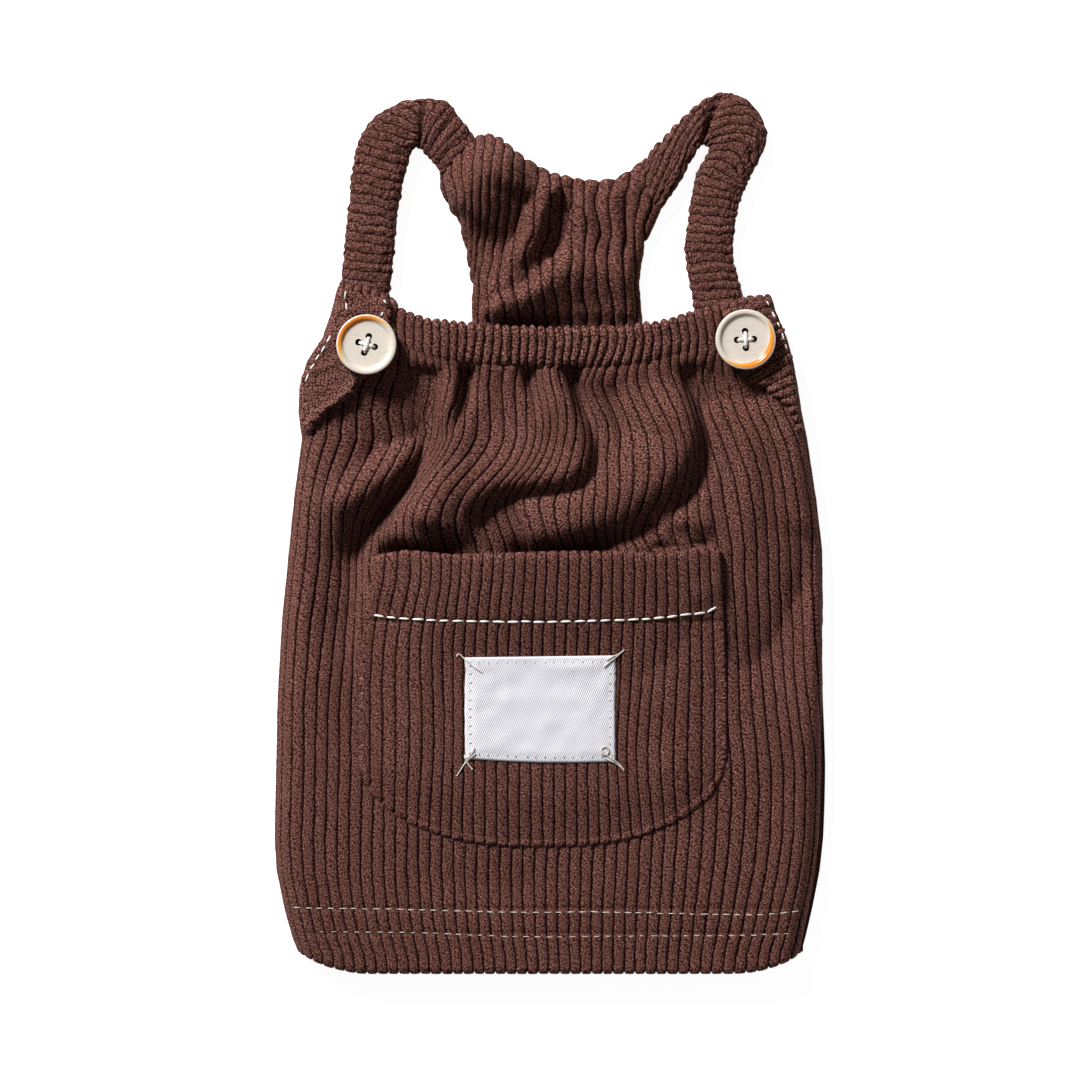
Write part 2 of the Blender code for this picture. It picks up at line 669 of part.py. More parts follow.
def make_button(name, place, collection, cutters):
    bm = bmesh.new()
    profile = [bm.verts.new((out, 0.0, high)) for out, high in BUTTON_PROFILE]
    for first, second in zip(profile, profile[1:]):
        bm.edges.new((first, second))
    button = add_object(name, bm, HORN_PLASTIC, collection)
    button.location = (place.x * MM, place.y * MM, button_level(place) * MM)
    turn = button.modifiers.new("turned", "SCREW")
    turn.steps = turn.render_steps = BUTTON_STEPS
    turn.use_merge_vertices = True
    turn.merge_threshold = 0.00001
    turn.use_smooth_shade = True

    bm = bmesh.new()
    for quarter in range(4):
        angle = quarter * math.pi / 2
        hole = bmesh.ops.create_cone(
            bm,
            cap_ends=True,
            segments=BUTTON_HOLE_SIDES,
            radius1=BUTTON_HOLE_RADIUS,
            radius2=BUTTON_HOLE_RADIUS,
            depth=4 * BUTTON_THICKNESS,
        )["verts"]
        shift = (BUTTON_HOLE_CIRCLE * math.cos(angle), BUTTON_HOLE_CIRCLE * math.sin(angle), 0.0)
        bmesh.ops.translate(bm, vec=shift, verts=hole)
    holes = add_object(name + "_holes", bm, HORN_PLASTIC, cutters)
    holes.location = button.location
    holes.hide_render = True
    holes.display_type = "WIRE"
    cut = button.modifiers.new("holes", "BOOLEAN")
    cut.operation = "DIFFERENCE"
    cut.object = holes
    return button


def main():
    clear_scene()
    dress = new_collection("dog_pinafore_dress")
    cutters = new_collection("cutters")
    make_back(dress)
    make_back_facing(dress)
    make_front(dress)
    make_armhole_facing("armhole_facing_left", ARMHOLE_LEFT, dress)
    make_armhole_facing("armhole_facing_right", ARMHOLE_RIGHT, dress)
    make_strap("strap_left", STRAP_LEFT, dress)
    make_strap("strap_right", STRAP_RIGHT, dress)
    make_pocket(dress)
    make_label(dress)
    for name, place in BUTTONS.items():
        make_button(name, place, dress, cutters)


main()
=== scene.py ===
"""Looks of a small dog's pinafore dress in wide-wale corduroy, laid flat on its back.

Every sheet of cloth is a thin shell with its own raised wales, laid out by the length of cloth
across each fold, so that the wales crowd on slopes and bend with the creases. Tables and sizes are
in millimetres, as in the model that carries these looks, and MM turns them into metres.
"""

import logging
import math
from collections.abc import Callable, Sequence
from dataclasses import dataclass, field
from enum import Enum
from typing import NamedTuple

import bpy
import numpy as np
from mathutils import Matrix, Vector
from mathutils.bvhtree import BVHTree


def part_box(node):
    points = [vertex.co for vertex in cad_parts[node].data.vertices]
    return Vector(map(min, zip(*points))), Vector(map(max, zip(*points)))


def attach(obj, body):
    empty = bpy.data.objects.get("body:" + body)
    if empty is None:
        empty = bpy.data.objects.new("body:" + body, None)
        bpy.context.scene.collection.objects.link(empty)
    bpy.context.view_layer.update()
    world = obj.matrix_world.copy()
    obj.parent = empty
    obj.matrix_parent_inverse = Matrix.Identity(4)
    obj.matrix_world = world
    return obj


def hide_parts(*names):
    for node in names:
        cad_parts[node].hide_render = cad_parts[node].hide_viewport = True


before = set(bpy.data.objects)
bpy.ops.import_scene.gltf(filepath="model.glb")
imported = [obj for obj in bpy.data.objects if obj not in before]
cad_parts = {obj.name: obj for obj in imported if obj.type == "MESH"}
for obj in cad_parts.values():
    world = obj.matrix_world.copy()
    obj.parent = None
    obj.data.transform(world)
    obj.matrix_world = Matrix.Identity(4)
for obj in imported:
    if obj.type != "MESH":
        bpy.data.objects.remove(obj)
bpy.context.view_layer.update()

LOG = logging.getLogger("pinafore")
MM = 0.001
BODY = "root"
CLOTH_UV = "cloth"
NAP = "nap"
Array = np.ndarray

# the cloth: a wale's width, the hem's two seams, and how much of the hem each corner's rise takes
WALE_PITCH = 3.6
HEM_SEAMS = (-112.9, -120.3)
HEM_CORNER_SHARE = 0.14

# the shapes' fineness: places along a crease, its reach in half widths, and rows round an edge
CREASE_STEPS = 150
CREASE_REACH = 3.0
EDGE_ROWS = 5

# the buttons: bevels, how deep the thread lies, and the amber crescent in shares of the radius
EDGE_BEVEL = 0.7
HOLE_BEVEL = 0.18
DISH_DEPTH = 0.9
CRESCENT = (0.953, 0.950, 0.217)

# the sewing: how far a button's strands lie apart and reach, and how a thread is made
STRAND_GAP = 0.34
STRAND_REACH = 2.45
THREAD_SIDES = 6
STITCH_SINK = 0.45


# ---------------------------------------------------------------- tables


class Section(NamedTuple):
    """One level of the front: its side edges, rim and crown heights and the width of its roll."""

    y: float
    left: float
    right: float
    rim: float
    crown: float
    roll: float


class Place(NamedTuple):
    """A place on the cloth, seen from above."""

    x: float
    y: float


class Edge(NamedTuple):
    """The left and right edge of a piece at one level."""

    y: float
    left: float
    right: float


class Cross(NamedTuple):
    """A cross-section of a strap, from its outer to its inner edge."""

    outer_x: float
    outer_y: float
    inner_x: float
    inner_y: float
    thickness: float


class Bend(NamedTuple):
    """How the wales of a strap lie at one level."""

    y: float
    x: float
    angle: float
    arch: float


class Across(NamedTuple):
    """A line across an armhole facing, from the armhole edge inwards."""

    edge_x: float
    edge_y: float
    inner_x: float
    inner_y: float


class Form(Enum):
    """What a crease does to the cloth, and how pointed it is across."""

    RIDGE = (1.0, 2.0)
    SHELF = (1.0, 3.6)
    TROUGH = (-1.0, 1.8)
    VALLEY = (-1.0, 1.15)


class Crease(NamedTuple):
    """A soft ridge or trough that follows a bent path and dies away at both ends.

    Its two sides have half widths of their own, left and right as seen by someone who walks the path,
    either one for the whole path or one for each of its places.
    """

    form: Form
    height: float
    left: float | tuple[float, ...]
    right: float | tuple[float, ...]
    path: tuple[tuple[float, float], ...]
    fade: tuple[float, float] = (0.25, 0.25)


class Drift(NamedTuple):
    """A place round which the wales are pulled to one side."""

    x: float
    y: float
    shift: float
    reach_x: float
    reach_y: float


def table_of(kind: type, *rows: tuple[float, ...]) -> tuple:
    """Returns a table whose rows are all of one kind."""
    return tuple(kind(*row) for row in rows)


FRONT_SECTIONS = table_of(
    Section,
    (-127, -74.6, 74.7, 2.1, 10.4, 5), (-122, -76.6, 75.9, 2.1, 10.6, 6),
    (-114, -78.9, 77.5, 2.1, 10.9, 6.5), (-102, -81.4, 79.6, 2.1, 11.2, 6.5),
    (-92, -82, 80.6, 2.1, 11.3, 6.5), (-70, -81.5, 81.5, 2.1, 11.4, 6.5),
    (-50, -81.1, 81.5, 2.1, 11.4, 6.5), (-26, -79.8, 81.8, 2.1, 11.4, 6.5),
    (-5, -77.7, 81.6, 2.1, 11.4, 6.5), (10, -76.1, 79.8, 2.1, 11.2, 6.5), (28, -73.8, 77.1, 2.4, 10.2, 5.5),
    (36, -74.8, 75.4, 5.2, 9.1, 4), (43.5, -74.6, 74.4, 6.4, 8.4, 3), (51, -72.4, 73, 6.5, 8.3, 3),
    (58, -67.8, 71.2, 6.5, 8.3, 3), (66, -65, 67.8, 6.5, 8.3, 3), (74, -63, 65.4, 6.5, 8.3, 3),
)

NECKLINE = table_of(
    Place,
    (-63, 73.4), (-53.7, 73.2), (-46.8, 70), (-44, 66.8), (-35.7, 63.6), (-20.7, 61.6), (0.3, 60.6),
    (18.3, 60.9), (30.3, 62.3), (42.3, 65.8), (51.9, 68.4), (58.8, 70.3), (65.4, 70.8),
)

FRONT_CREASES = (
    # left shoulder: a hollow under the casing, then the ridge that runs down to the side
    Crease(
        Form.VALLEY, 7.6, (2.2, 2.2, 2.6, 3, 3, 3, 3), (13, 13, 13, 13, 13, 12, 9),
        ((-33.4, 51), (-34, 42), (-35.4, 33.6), (-40.5, 29), (-47, 26), (-54, 22), (-61.5, 15.5)), (0.1, 0.3),
    ),
    Crease(Form.RIDGE, 3.6, 5.4, 4, ((-38.4, 26), (-44.7, 21.6), (-52.2, 16.4), (-60.2, 10.6), (-70.3, 6))),
    # the deep fold beside it, and the sheet that laps over it and ends in a round toe
    Crease(
        Form.TROUGH, 7.4, (2.6, 3, 3.4, 4, 4, 4, 4, 4), (2.8, 3.2, 3.6, 3.8, 5, 6, 6, 6),
        ((-35, 36), (-36.4, 27), (-39.4, 18.1), (-44.7, 10.6), (-50.2, 5), (-55, -1), (-58.4, -9),
         (-60, -22)), (0.16, 0.4),
    ),
    Crease(
        Form.SHELF, 4.6, 9.5, 3.2,
        ((-30, 50), (-31, 38), (-32.2, 27), (-34.8, 18.6), (-38.6, 11.6), (-42.6, 5.6), (-45.6, -1),
         (-46.6, -5)), (0.25, 0.08),
    ),
    Crease(Form.SHELF, 2.4, 1.6, 3.4, ((-29, 50), (-29.2, 44), (-30, 37), (-31.6, 28)), (0.15, 0.5)),
    Crease(Form.TROUGH, 9.5, 2.6, 1.9, ((-25, 50.8), (-25.2, 45), (-26, 39), (-27.6, 28)), (0.12, 0.75)),
    # the pouch: its crest runs round like a U and drops to the flat cloth outside it
    Crease(
        Form.RIDGE, 6.6, (2.8, 2.9, 3.2, 3.8, 4.2, 4.8, 5.4, 5.6, 5.8, 5.8, 6.4, 7.6, 8), 11,
        ((2.6, 50), (3.6, 43), (5.6, 37), (8, 31), (9.4, 26), (9, 23.5), (7.4, 20.4), (3.6, 18), (-3, 17),
         (-10, 16.2), (-20, 14), (-28, 7), (-33, -3)), (0.16, 0.08),
    ),
    Crease(
        Form.TROUGH, 2.8, 1.8, (3.6, 3.6, 3.4, 3.2, 3, 3, 3, 3, 3, 3, 3, 3, 3),
        ((6.2, 51), (7.3, 43.5), (9.6, 37.5), (12.4, 31.5), (14, 26), (14.2, 21), (12.2, 15.9), (8, 12.9),
         (1, 11.4), (-7, 10.6), (-14, 9.2), (-19, 5), (-22.4, -2)), (0.1, 0.1),
    ),
    Crease(Form.TROUGH, 7, 2.4, 1.6, ((-7.2, 50.6), (-6, 44), (-4.4, 38), (-4.8, 30)), (0.12, 0.75)),
    Crease(Form.TROUGH, 8, 2.8, 1.7, ((5.2, 50.8), (6.8, 45), (9.2, 39), (12.4, 31)), (0.12, 0.7)),
    Crease(Form.TROUGH, 6, 3, 1.7, ((40.8, 50.6), (42.6, 44), (45.4, 38), (47.4, 31)), (0.12, 0.7)),
    Crease(Form.TROUGH, 2.8, 3.2, 2.6, ((17, 48), (19, 38), (22, 28), (21.6, 20)), (0.3, 0.4)),
    # the big lobe, and the dark fold that curls round it to the pocket's mouth
    Crease(
        Form.RIDGE, 6.6, (3.2, 3.4, 3.8, 5, 7, 8.6, 9.2, 8.8, 7.4, 6.4), 13,
        ((36, 50), (39, 39), (41.8, 29.4), (39.2, 22.5), (34, 17.6), (27, 13.2), (18.2, 8), (9, 3.2),
         (0, -1.2), (-8.3, -3.6)), (0.2, 0.06),
    ),
    Crease(
        Form.TROUGH, 3, 1.8, 4.6,
        ((41.6, 53), (43.6, 43), (46.4, 34.6), (47.4, 26.6), (46.4, 18.6), (43.2, 11.6), (37.4, 5.6),
         (30.4, 0.8), (22.4, -2.6), (12.6, -4.8), (2, -6), (-9, -6.6), (-16.5, -7)), (0.08, 0.06),
    ),
    Crease(Form.VALLEY, 5, 3, 8, ((67, 42), (55, 40.4), (44.6, 41.6)), (0.3, 0.2)),
    Crease(Form.TROUGH, 1.6, 2, 2, ((46, 53), (49.5, 46), (55, 39)), (0.3, 0.4)),
    Crease(Form.RIDGE, 1.8, 4, 5, ((59.4, 40.6), (60, 18), (59.4, -12)), (0.35, 0.35)),
    Crease(Form.TROUGH, 5.6, 3.4, 2.6, ((-53, -6.6), (-45, -6.8), (-36, -7.2), (-25, -7.6)), (0.1, 0.2)),
    Crease(Form.TROUGH, 4.4, 5, 2.6, ((-13, -7.8), (-2, -7.6), (10, -7.4), (22, -6.4)), (0.25, 0.25)),
    # a small crumple at the right end of the pocket's mouth
    Crease(Form.RIDGE, 2.4, 3, 2.6, ((29.4, 1.2), (36, 3.6), (43.5, 3), (50.1, 0))),
    Crease(Form.TROUGH, 2.4, 1.4, 1.4, ((30, -3.3), (34.5, -4.8), (39, -3.6))),
    Crease(Form.TROUGH, 2, 1.2, 1.2, ((41.4, -2.4), (45, -3.9), (49.5, -2.7))),
    Crease(Form.TROUGH, 1.2, 1, 1, ((35.4, 4.5), (36.6, 0.9), (37.2, -2.4))),
    # long shallow hollows beside and below the pocket
    Crease(
        Form.VALLEY, 5.4, 24, 10,
        ((84, 0), (78, -13.5), (73, -22), (65.4, -35.4), (55, -46.4)), (0.1, 0.25),
    ),
    Crease(Form.TROUGH, 3.8, 2.6, 9, ((-55, 2), (-57.4, -12), (-59.6, -26), (-62, -46)), (0.2, 0.45)),
    Crease(Form.RIDGE, 1.2, 7, 6, ((-72, -6), (-72, -30), (-69, -64)), (0.35, 0.35)),
    Crease(Form.TROUGH, 0.9, 6, 6, ((62, -66), (66, -84), (64, -104)), (0.35, 0.35)),
    Crease(Form.TROUGH, 0.8, 7, 7, ((-52, -99), (-20, -106), (14, -102)), (0.4, 0.4)),
)

FRONT_DRIFTS = table_of(
    Drift,
    (-33, 0, -7, 15, 17), (-48, 24, 6.4, 13, 14), (-15, 31, 5, 17, 12), (-20, 20, 5, 13, 9),
    (-6, 10.5, -3.6, 9, 6.5), (34, 24, 3.6, 8, 12), (30, -1, -4, 9, 7), (-62, 10, -1.6, 9, 16),
    (60, 12, 1.6, 8, 18), (66, -84, 4.2, 18, 44), (-66, -20, 1.6, 8, 26),
)

BACK_ARMHOLE = table_of(
    Place,
    (-74, 28.6), (-64, 31), (-52, 35), (-39, 41), (-28.5, 48), (-22.6, 54.6), (27.8, 54.6), (33.5, 48),
    (44, 41), (56, 35), (67, 31), (77, 28.6),
)
BIB_SIDES = table_of(
    Edge,
    (54.6, -22.4, 27.6), (62.1, -22.3, 27.4), (74.7, -22.6, 26.4), (81, -23.7, 27), (87.6, -24.9, 28.6),
    (95.4, -27.3, 32.2), (98.1, -29.9, 33.3), (103.8, -32.1, 33.3), (108.3, -32.4, 33.3),
)
BIB_TOP = table_of(
    Place,
    (-32.4, 108.3), (-28.2, 113.1), (-22.5, 118.5), (-18.6, 119.4), (-14.7, 118.2), (-11.1, 114.9),
    (-7.2, 111.9), (0, 108), (9.6, 105.6), (15.3, 105.3), (21.3, 106.2), (27.9, 111), (30.3, 105.6),
    (33.3, 98.1),
)
BIB_CREASES = (
    # the ridge that comes down from the top, and the deep fold on its right
    Crease(
        Form.RIDGE, 4.8, (2.4, 2.5, 2.6, 2.8, 3.2), (5, 4.2, 3.4, 3.2, 3.2),
        ((2.2, 106), (-2.2, 97), (-5, 90), (-9, 82.6), (-15, 77.6)), (0.12, 0.3),
    ),
    Crease(
        Form.TROUGH, 4.2, 1.8, 2.6,
        ((6.4, 106), (5.2, 99), (4.4, 92), (1.8, 84.4), (-2.4, 77.6), (-8, 73.2), (-15, 69)), (0.12, 0.2),
    ),
    # the second ridge, which turns along the neckline and dives under it
    Crease(
        Form.RIDGE, 3.8, 1.9, (6, 6, 7, 8, 9, 9, 8, 7),
        ((-20.5, 64.8), (-12.4, 69.6), (-5.6, 74.4), (0.4, 80), (7, 84.8), (8.4, 90), (9.6, 97),
         (13, 105)), (0.1, 0.2),
    ),
    Crease(Form.RIDGE, 4.4, 7, 9.5, ((-20, 71), (-8, 73.6), (4, 76.4), (16, 77.4), (28, 76.4)), (0.1, 0.02)),
    # the long slope down from the left shoulder, and slighter folds on both sides
    Crease(Form.RIDGE, 8.4, 14, 9, ((-4, 113), (-14, 109), (-23, 103), (-31, 92)), (0.3, 0.25)),
    Crease(Form.VALLEY, 3.6, 2.6, 11, ((-5, 104), (-7.5, 97), (-10.5, 90), (-16, 82)), (0.2, 0.3)),
    Crease(Form.TROUGH, 1.5, 2, 2.6, ((12.6, 104), (14.6, 95), (17.6, 86.6), (19, 80)), (0.2, 0.4)),
    Crease(Form.RIDGE, 1.2, 2.4, 3, ((19, 105), (18.6, 96), (21, 88), (22.6, 80)), (0.2, 0.4)),
    Crease(Form.TROUGH, 1, 1.4, 1.4, ((23, 101), (23.4, 88), (23.2, 76), (23.4, 66)), (0.2, 0.2)),
    Crease(Form.TROUGH, 1, 1.2, 1.2, ((-21.6, 90), (-21.2, 80), (-20.6, 70)), (0.3, 0.3)),
)
# how the grooves between the bib's wales run: at each level, the places of eighteen of them
BIB_GROOVES = (
    (61.4, (-33.9, -30.7, -27.4, -24.1, -21.3, -17.5, -12.5, -8.3, -4.1,
           -0.4, 3.1, 6.8, 11.2, 15.6, 19.8, 23.3, 26.1, 28.8)),
    (66.3, (-33.9, -30.7, -27.4, -24.1, -21.3, -17.8, -13.2, -9.1, -5,
           -1.2, 2.5, 6.6, 11.1, 15.5, 19.6, 23.2, 26, 28.8)),
    (74.5, (-27.4, -25.6, -24, -22.5, -20.8, -18.4, -15.4, -11.3, -6.1,
           -2, 1.1, 6.3, 10.1, 14.3, 18.3, 22.4, 25.5, 28.8)),
    (82.7, (-26, -24.4, -23.1, -21.8, -19.6, -16.9, -13.9, -10.9, -7.3,
           -2.9, 1.6, 6.9, 10.4, 13.8, 17.5, 22.3, 25.5, 28.5)),
    (90.9, (-26.3, -24.4, -22.7, -20.8, -18.7, -15.9, -12.9, -9.9, -4.5,
           -0.5, 3.4, 7.1, 11.3, 15.2, 18.5, 22.8, 25.8, 28.5)),
    (99.1, (-27.1, -25.1, -23.1, -20.6, -18, -15.1, -12, -8.6, -4.2,
           0.2, 3.7, 7.3, 10.4, 13.8, 17.9, 22.8, 27.2, 31)),
    (107.2, (-29, -26.3, -22.9, -20.2, -17.5, -14.3, -11.3, -8, -3.5,
           0.6, 3.8, 7.3, 10.8, 15.4, 19.8, 24.7, 30.2, 34.8)),
    (118.1, (-28.2, -25.5, -22.2, -19.2, -16.2, -13.5, -10.5, -7.2, -3.1,
           0.7, 4, 7.3, 10.8, 16.5, 22.3, 31, 37, 43)),
)

STRAP_LEFT = table_of(
    Cross,
    (-62.4, 61.5, -48.6, 61.5, 4.2), (-62.8, 69.6, -48.4, 69.6, 4.6), (-62.5, 76.8, -47.7, 76.8, 5.2),
    (-61.5, 84.6, -46.8, 84.6, 5.4), (-60.9, 92.4, -46.2, 92.4, 5.4), (-60, 99.6, -45.3, 99.6, 5.4),
    (-59.4, 106.8, -43.5, 107.4, 5.4), (-58.2, 114, -42, 113.4, 5.4), (-55.8, 120.6, -41.2, 115, 5.6),
    (-51.3, 125.7, -40.5, 115.9, 5.8), (-44.7, 129.3, -39.9, 116.2, 5.8), (-37.8, 130.4, -39.2, 116, 5.8),
    (-31.2, 129.6, -37.8, 114.8, 5.4), (-27.3, 125.4, -35.6, 112.4, 4.8), (-23.2, 119.5, -33, 109.1, 4.6),
    (-22.4, 118.5, -32.3, 107.9, 4.6),
)
STRAP_RIGHT = table_of(
    Cross,
    (57.9, 60, 43.7, 60, 4.2), (58.6, 69, 43.5, 69.6, 4.6), (56.9, 76.5, 42.2, 76.2, 5.2),
    (55.4, 82.2, 41.4, 82.2, 5), (55.5, 88.8, 41.1, 87.6, 5.4), (56.4, 95.1, 42.3, 94.8, 5.4),
    (57.9, 101.4, 43.2, 101.4, 5.4), (60.6, 107, 44.4, 107.4, 5.4), (63.2, 112, 46.8, 112.2, 5.6),
    (65.4, 117.6, 48.4, 115, 5.8), (64.5, 123.6, 48.2, 116, 6), (61, 128.6, 47.6, 116.7, 6),
    (56, 131.8, 46.8, 117, 5.8), (50.6, 131.6, 46, 116.7, 5.4), (45.3, 128.9, 44.8, 115.4, 5.2),
    (40.5, 124.8, 42.8, 112.2, 5.2), (35.7, 119.6, 40.5, 108, 5), (31.4, 115.2, 37.2, 102.6, 4.4),
    (28.6, 111.6, 34.2, 98.6, 4.4), (26.8, 109.6, 32.8, 96.4, 4.4),
)

ARMHOLE_LEFT = table_of(
    Across,
    (-62.6, 72.8, -48.2, 70), (-63.4, 69.6, -47.6, 66.4), (-64.6, 66, -47.6, 61.5),
    (-66.3, 60, -48.6, 55.5), (-69.2, 55.8, -51.8, 49.6), (-72.1, 51, -56.1, 44.6),
    (-74.2, 43.8, -60.9, 40.4), (-74.5, 38.8, -65.1, 37), (-74.4, 34, -69.4, 33.4),
    (-73.8, 30, -71.8, 29.6),
)
ARMHOLE_RIGHT = table_of(
    Across,
    (65.2, 70.2, 52.4, 66.8), (67, 66.8, 52.2, 62.1), (69.3, 62.6, 52.4, 55.5), (71.1, 57.6, 55.6, 49),
    (72.8, 51, 62, 44.6), (74.2, 42.6, 68.1, 40.4), (75.1, 36.6, 72.2, 35.4), (76.5, 30.2, 74.5, 29.6),
)

POCKET_SIDES = table_of(
    Edge,
    (-64, -57, 53.2), (-46, -57, 53.2), (-33, -56.1, 52.7), (-21, -54.3, 52.1), (-14, -52.8, 51.6),
    (-5, -51.9, 51),
)
POCKET_MOUTH = table_of(
    Place,
    (-52.2, -7.6), (-43.5, -6), (-30.6, -7.2), (-14.7, -6.9), (1.8, -6.3), (18.3, -6.3), (28.2, -6.9),
    (39.3, -6.4), (44.4, -5.2), (51, -5.4),
)
POCKET_DRIFTS = table_of(
    Drift,
    (32, -66, -3, 13, 24), (-38, -60, 2, 10, 26), (-40, -16, 1.6, 12, 12),
)
POCKET_CREASES = (
    Crease(Form.TROUGH, 0.7, 4.5, 4.5, ((44, -24), (36, -38), (24, -46)), (0.35, 0.35)),
    Crease(Form.RIDGE, 0.6, 5, 5, ((-44, -30), (-38, -48), (-42, -70)), (0.35, 0.35)),
    Crease(Form.TROUGH, 0.5, 5, 5, ((-30, -30), (-34, -50), (-30, -66)), (0.35, 0.35)),
    Crease(Form.RIDGE, 0.6, 6, 6, ((34, -62), (40, -76), (32, -86)), (0.35, 0.35)),
)

LABEL_CORNERS = table_of(
    Place,
    (-25.2, -67.8), (19.8, -68.7), (19.8, -36.9), (-25.2, -37.5),
)


# ---------------------------------------------------------------- numbers and curves


def column(table: Sequence[NamedTuple], name: str) -> Array:
    """Returns one named column of a table."""
    return np.array([getattr(row, name) for row in table])


def along(table: Sequence[NamedTuple], name: str, y: Array) -> Array:
    """Returns one column of a table that is ordered by y, read at the levels y."""
    return np.interp(y, column(table, "y"), column(table, name))


def level_at(table: Sequence[Place], x: Array) -> Array:
    """Returns the level of a line of places at each x."""
    return np.interp(x, column(table, "x"), column(table, "y"))


def sides_at(table: Sequence[NamedTuple], y: Array) -> tuple[Array, Array]:
    """Returns where the left and the right edge of a piece lie at the levels y."""
    return along(table, "left", y), along(table, "right", y)


def bell(value: Array, middle: float, width: float) -> Array:
    """Returns 1 at the middle and less on both sides of it, on a bell curve of a half width."""
    return np.exp(-(((value - middle) / width) ** 2))


def hem_line(share: Array, level: float, rise: float) -> Array:
    """Returns the level of the hem at fractions across it: it rises at its two corners."""
    corner = np.minimum(np.minimum(share, 1 - share) / HEM_CORNER_SHARE, 1)
    return level + rise * (1 - corner) ** 2


def smoothstep(low: float, high: float, value: Array) -> Array:
    """Returns 0 below low, 1 above high and a smooth rise between them."""
    t = np.clip((value - low) / (high - low), 0.0, 1.0)
    return t * t * (3.0 - 2.0 * t)


def smooth_rows(table: Sequence[Sequence[float]], count: int, spread: Callable | None = None) -> Array:
    """Reads a table as a smooth curve.

    Args:
        table: Rows of numbers; the first two or four are the places that set the spacing.
        count: How many rows to return.
        spread: Turns a row into the point that the spacing is measured at.

    Returns:
        The rows, evenly spaced along the curve.
    """
    rows = np.array(table, float)
    ends = np.vstack([2 * rows[0] - rows[1], rows, 2 * rows[-1] - rows[-2]])
    dense = []
    for i in range(1, len(ends) - 2):
        a, b, c, d = ends[i - 1 : i + 3]
        for t in np.arange(0.0, 1.0, 0.05):
            swing = (c - a) * t + (2 * a - 5 * b + 4 * c - d) * t**2 + (3 * b - a - 3 * c + d) * t**3
            dense.append(b + 0.5 * swing)
    dense = np.array(dense + [rows[-1]])
    middle = dense[:, :2] if spread is None else spread(dense)
    run = np.concatenate([[0], np.cumsum(np.linalg.norm(np.diff(middle, axis=0), axis=1))])
    places = np.linspace(0, run[-1], count)
    return np.stack([np.interp(places, run, dense[:, k]) for k in range(rows.shape[1])], axis=1)


def middle_of(rows: Array) -> Array:
    """Returns the middles of rows that hold an outer and an inner place."""
    return (rows[:, 0:2] + rows[:, 2:4]) / 2


def run_length(line: Array) -> Array:
    """Returns how far along a line each of its points lies."""
    return np.concatenate([[0], np.cumsum(np.linalg.norm(np.diff(line, axis=0), axis=1))])


def crease_height(creases: Sequence[Crease], x: Array, y: Array) -> Array:
    """Adds up the creases at each place.

    Args:
        creases: The ridges and troughs.
        x: Places to the right.
        y: Places up the garment.

    Returns:
        How far each place stands out of the calm cloth.
    """
    total = np.zeros_like(x)
    for crease in creases:
        sign, power = crease.form.value
        places = np.array(crease.path)
        sides = [np.broadcast_to(side, len(places)) for side in (crease.left, crease.right)]
        line = smooth_rows(np.column_stack([places, *sides]), CREASE_STEPS)
        line, left, right = line[:, :2], line[:, 2], line[:, 3]
        reach = CREASE_REACH * max(left.max(), right.max())
        low, high = line.min(axis=0) - reach, line.max(axis=0) + reach
        near = (x > low[0]) & (x < high[0]) & (y > low[1]) & (y < high[1])
        if not near.any():
            continue
        aside_x = x[near][:, None] - line[None, :, 0]
        aside_y = y[near][:, None] - line[None, :, 1]
        nearest = (aside_x**2 + aside_y**2).argmin(axis=1)
        rows = np.arange(len(nearest))
        aside_x, aside_y = aside_x[rows, nearest], aside_y[rows, nearest]
        heading = np.gradient(line, axis=0)[nearest]
        on_left = heading[:, 0] * aside_y > heading[:, 1] * aside_x
        width = np.where(on_left, left[nearest], right[nearest])
        away = np.hypot(aside_x, aside_y) / width
        t = nearest / (CREASE_STEPS - 1)
        fullness = smoothstep(0, crease.fade[0], t) * smoothstep(0, crease.fade[1], 1 - t)
        total[near] += sign * crease.height * fullness * np.exp(-(away**power))
    return total


def drift_across(drifts: Sequence[Drift], x: Array, y: Array) -> Array:
    """Adds up the drifts at each place.

    Args:
        drifts: The places round which the wales are pulled.
        x: Places to the right.
        y: Places up the garment.

    Returns:
        How far the wales are pulled to the right.
    """
    total = np.zeros(np.broadcast(x, y).shape)
    for drift in drifts:
        away = ((x - drift.x) / drift.reach_x) ** 2 + ((y - drift.y) / drift.reach_y) ** 2
        total += drift.shift * np.exp(-away)
    return total


def edge_drop(distance: Array, radius: float) -> Array:
    """Returns how far a rounded edge falls at a distance inside it."""
    inside = np.clip(radius - distance, 0.0, radius)
    return radius - np.sqrt(radius**2 - inside**2)


def blurred(values: Array, axis: int) -> Array:
    """Returns the values, each mixed with its two neighbours along an axis."""
    return 0.5 * values + 0.25 * (np.roll(values, 1, axis) + np.roll(values, -1, axis))


def soft_noise(rng: np.random.Generator, rows: int, columns: int, blur: tuple[int, int]) -> Array:
    """Returns smooth random numbers with a spread of 1.

    Args:
        rng: The seeded source of random numbers.
        rows: Rows wanted.
        columns: Columns wanted.
        blur: How often it is smoothed along the rows and along the columns.

    Returns:
        An array of rows by columns.
    """
    noise = rng.standard_normal((rows, columns))
    for axis, times in enumerate(blur):
        for _ in range(times):
            noise = blurred(noise, axis)
    return noise / noise.std()


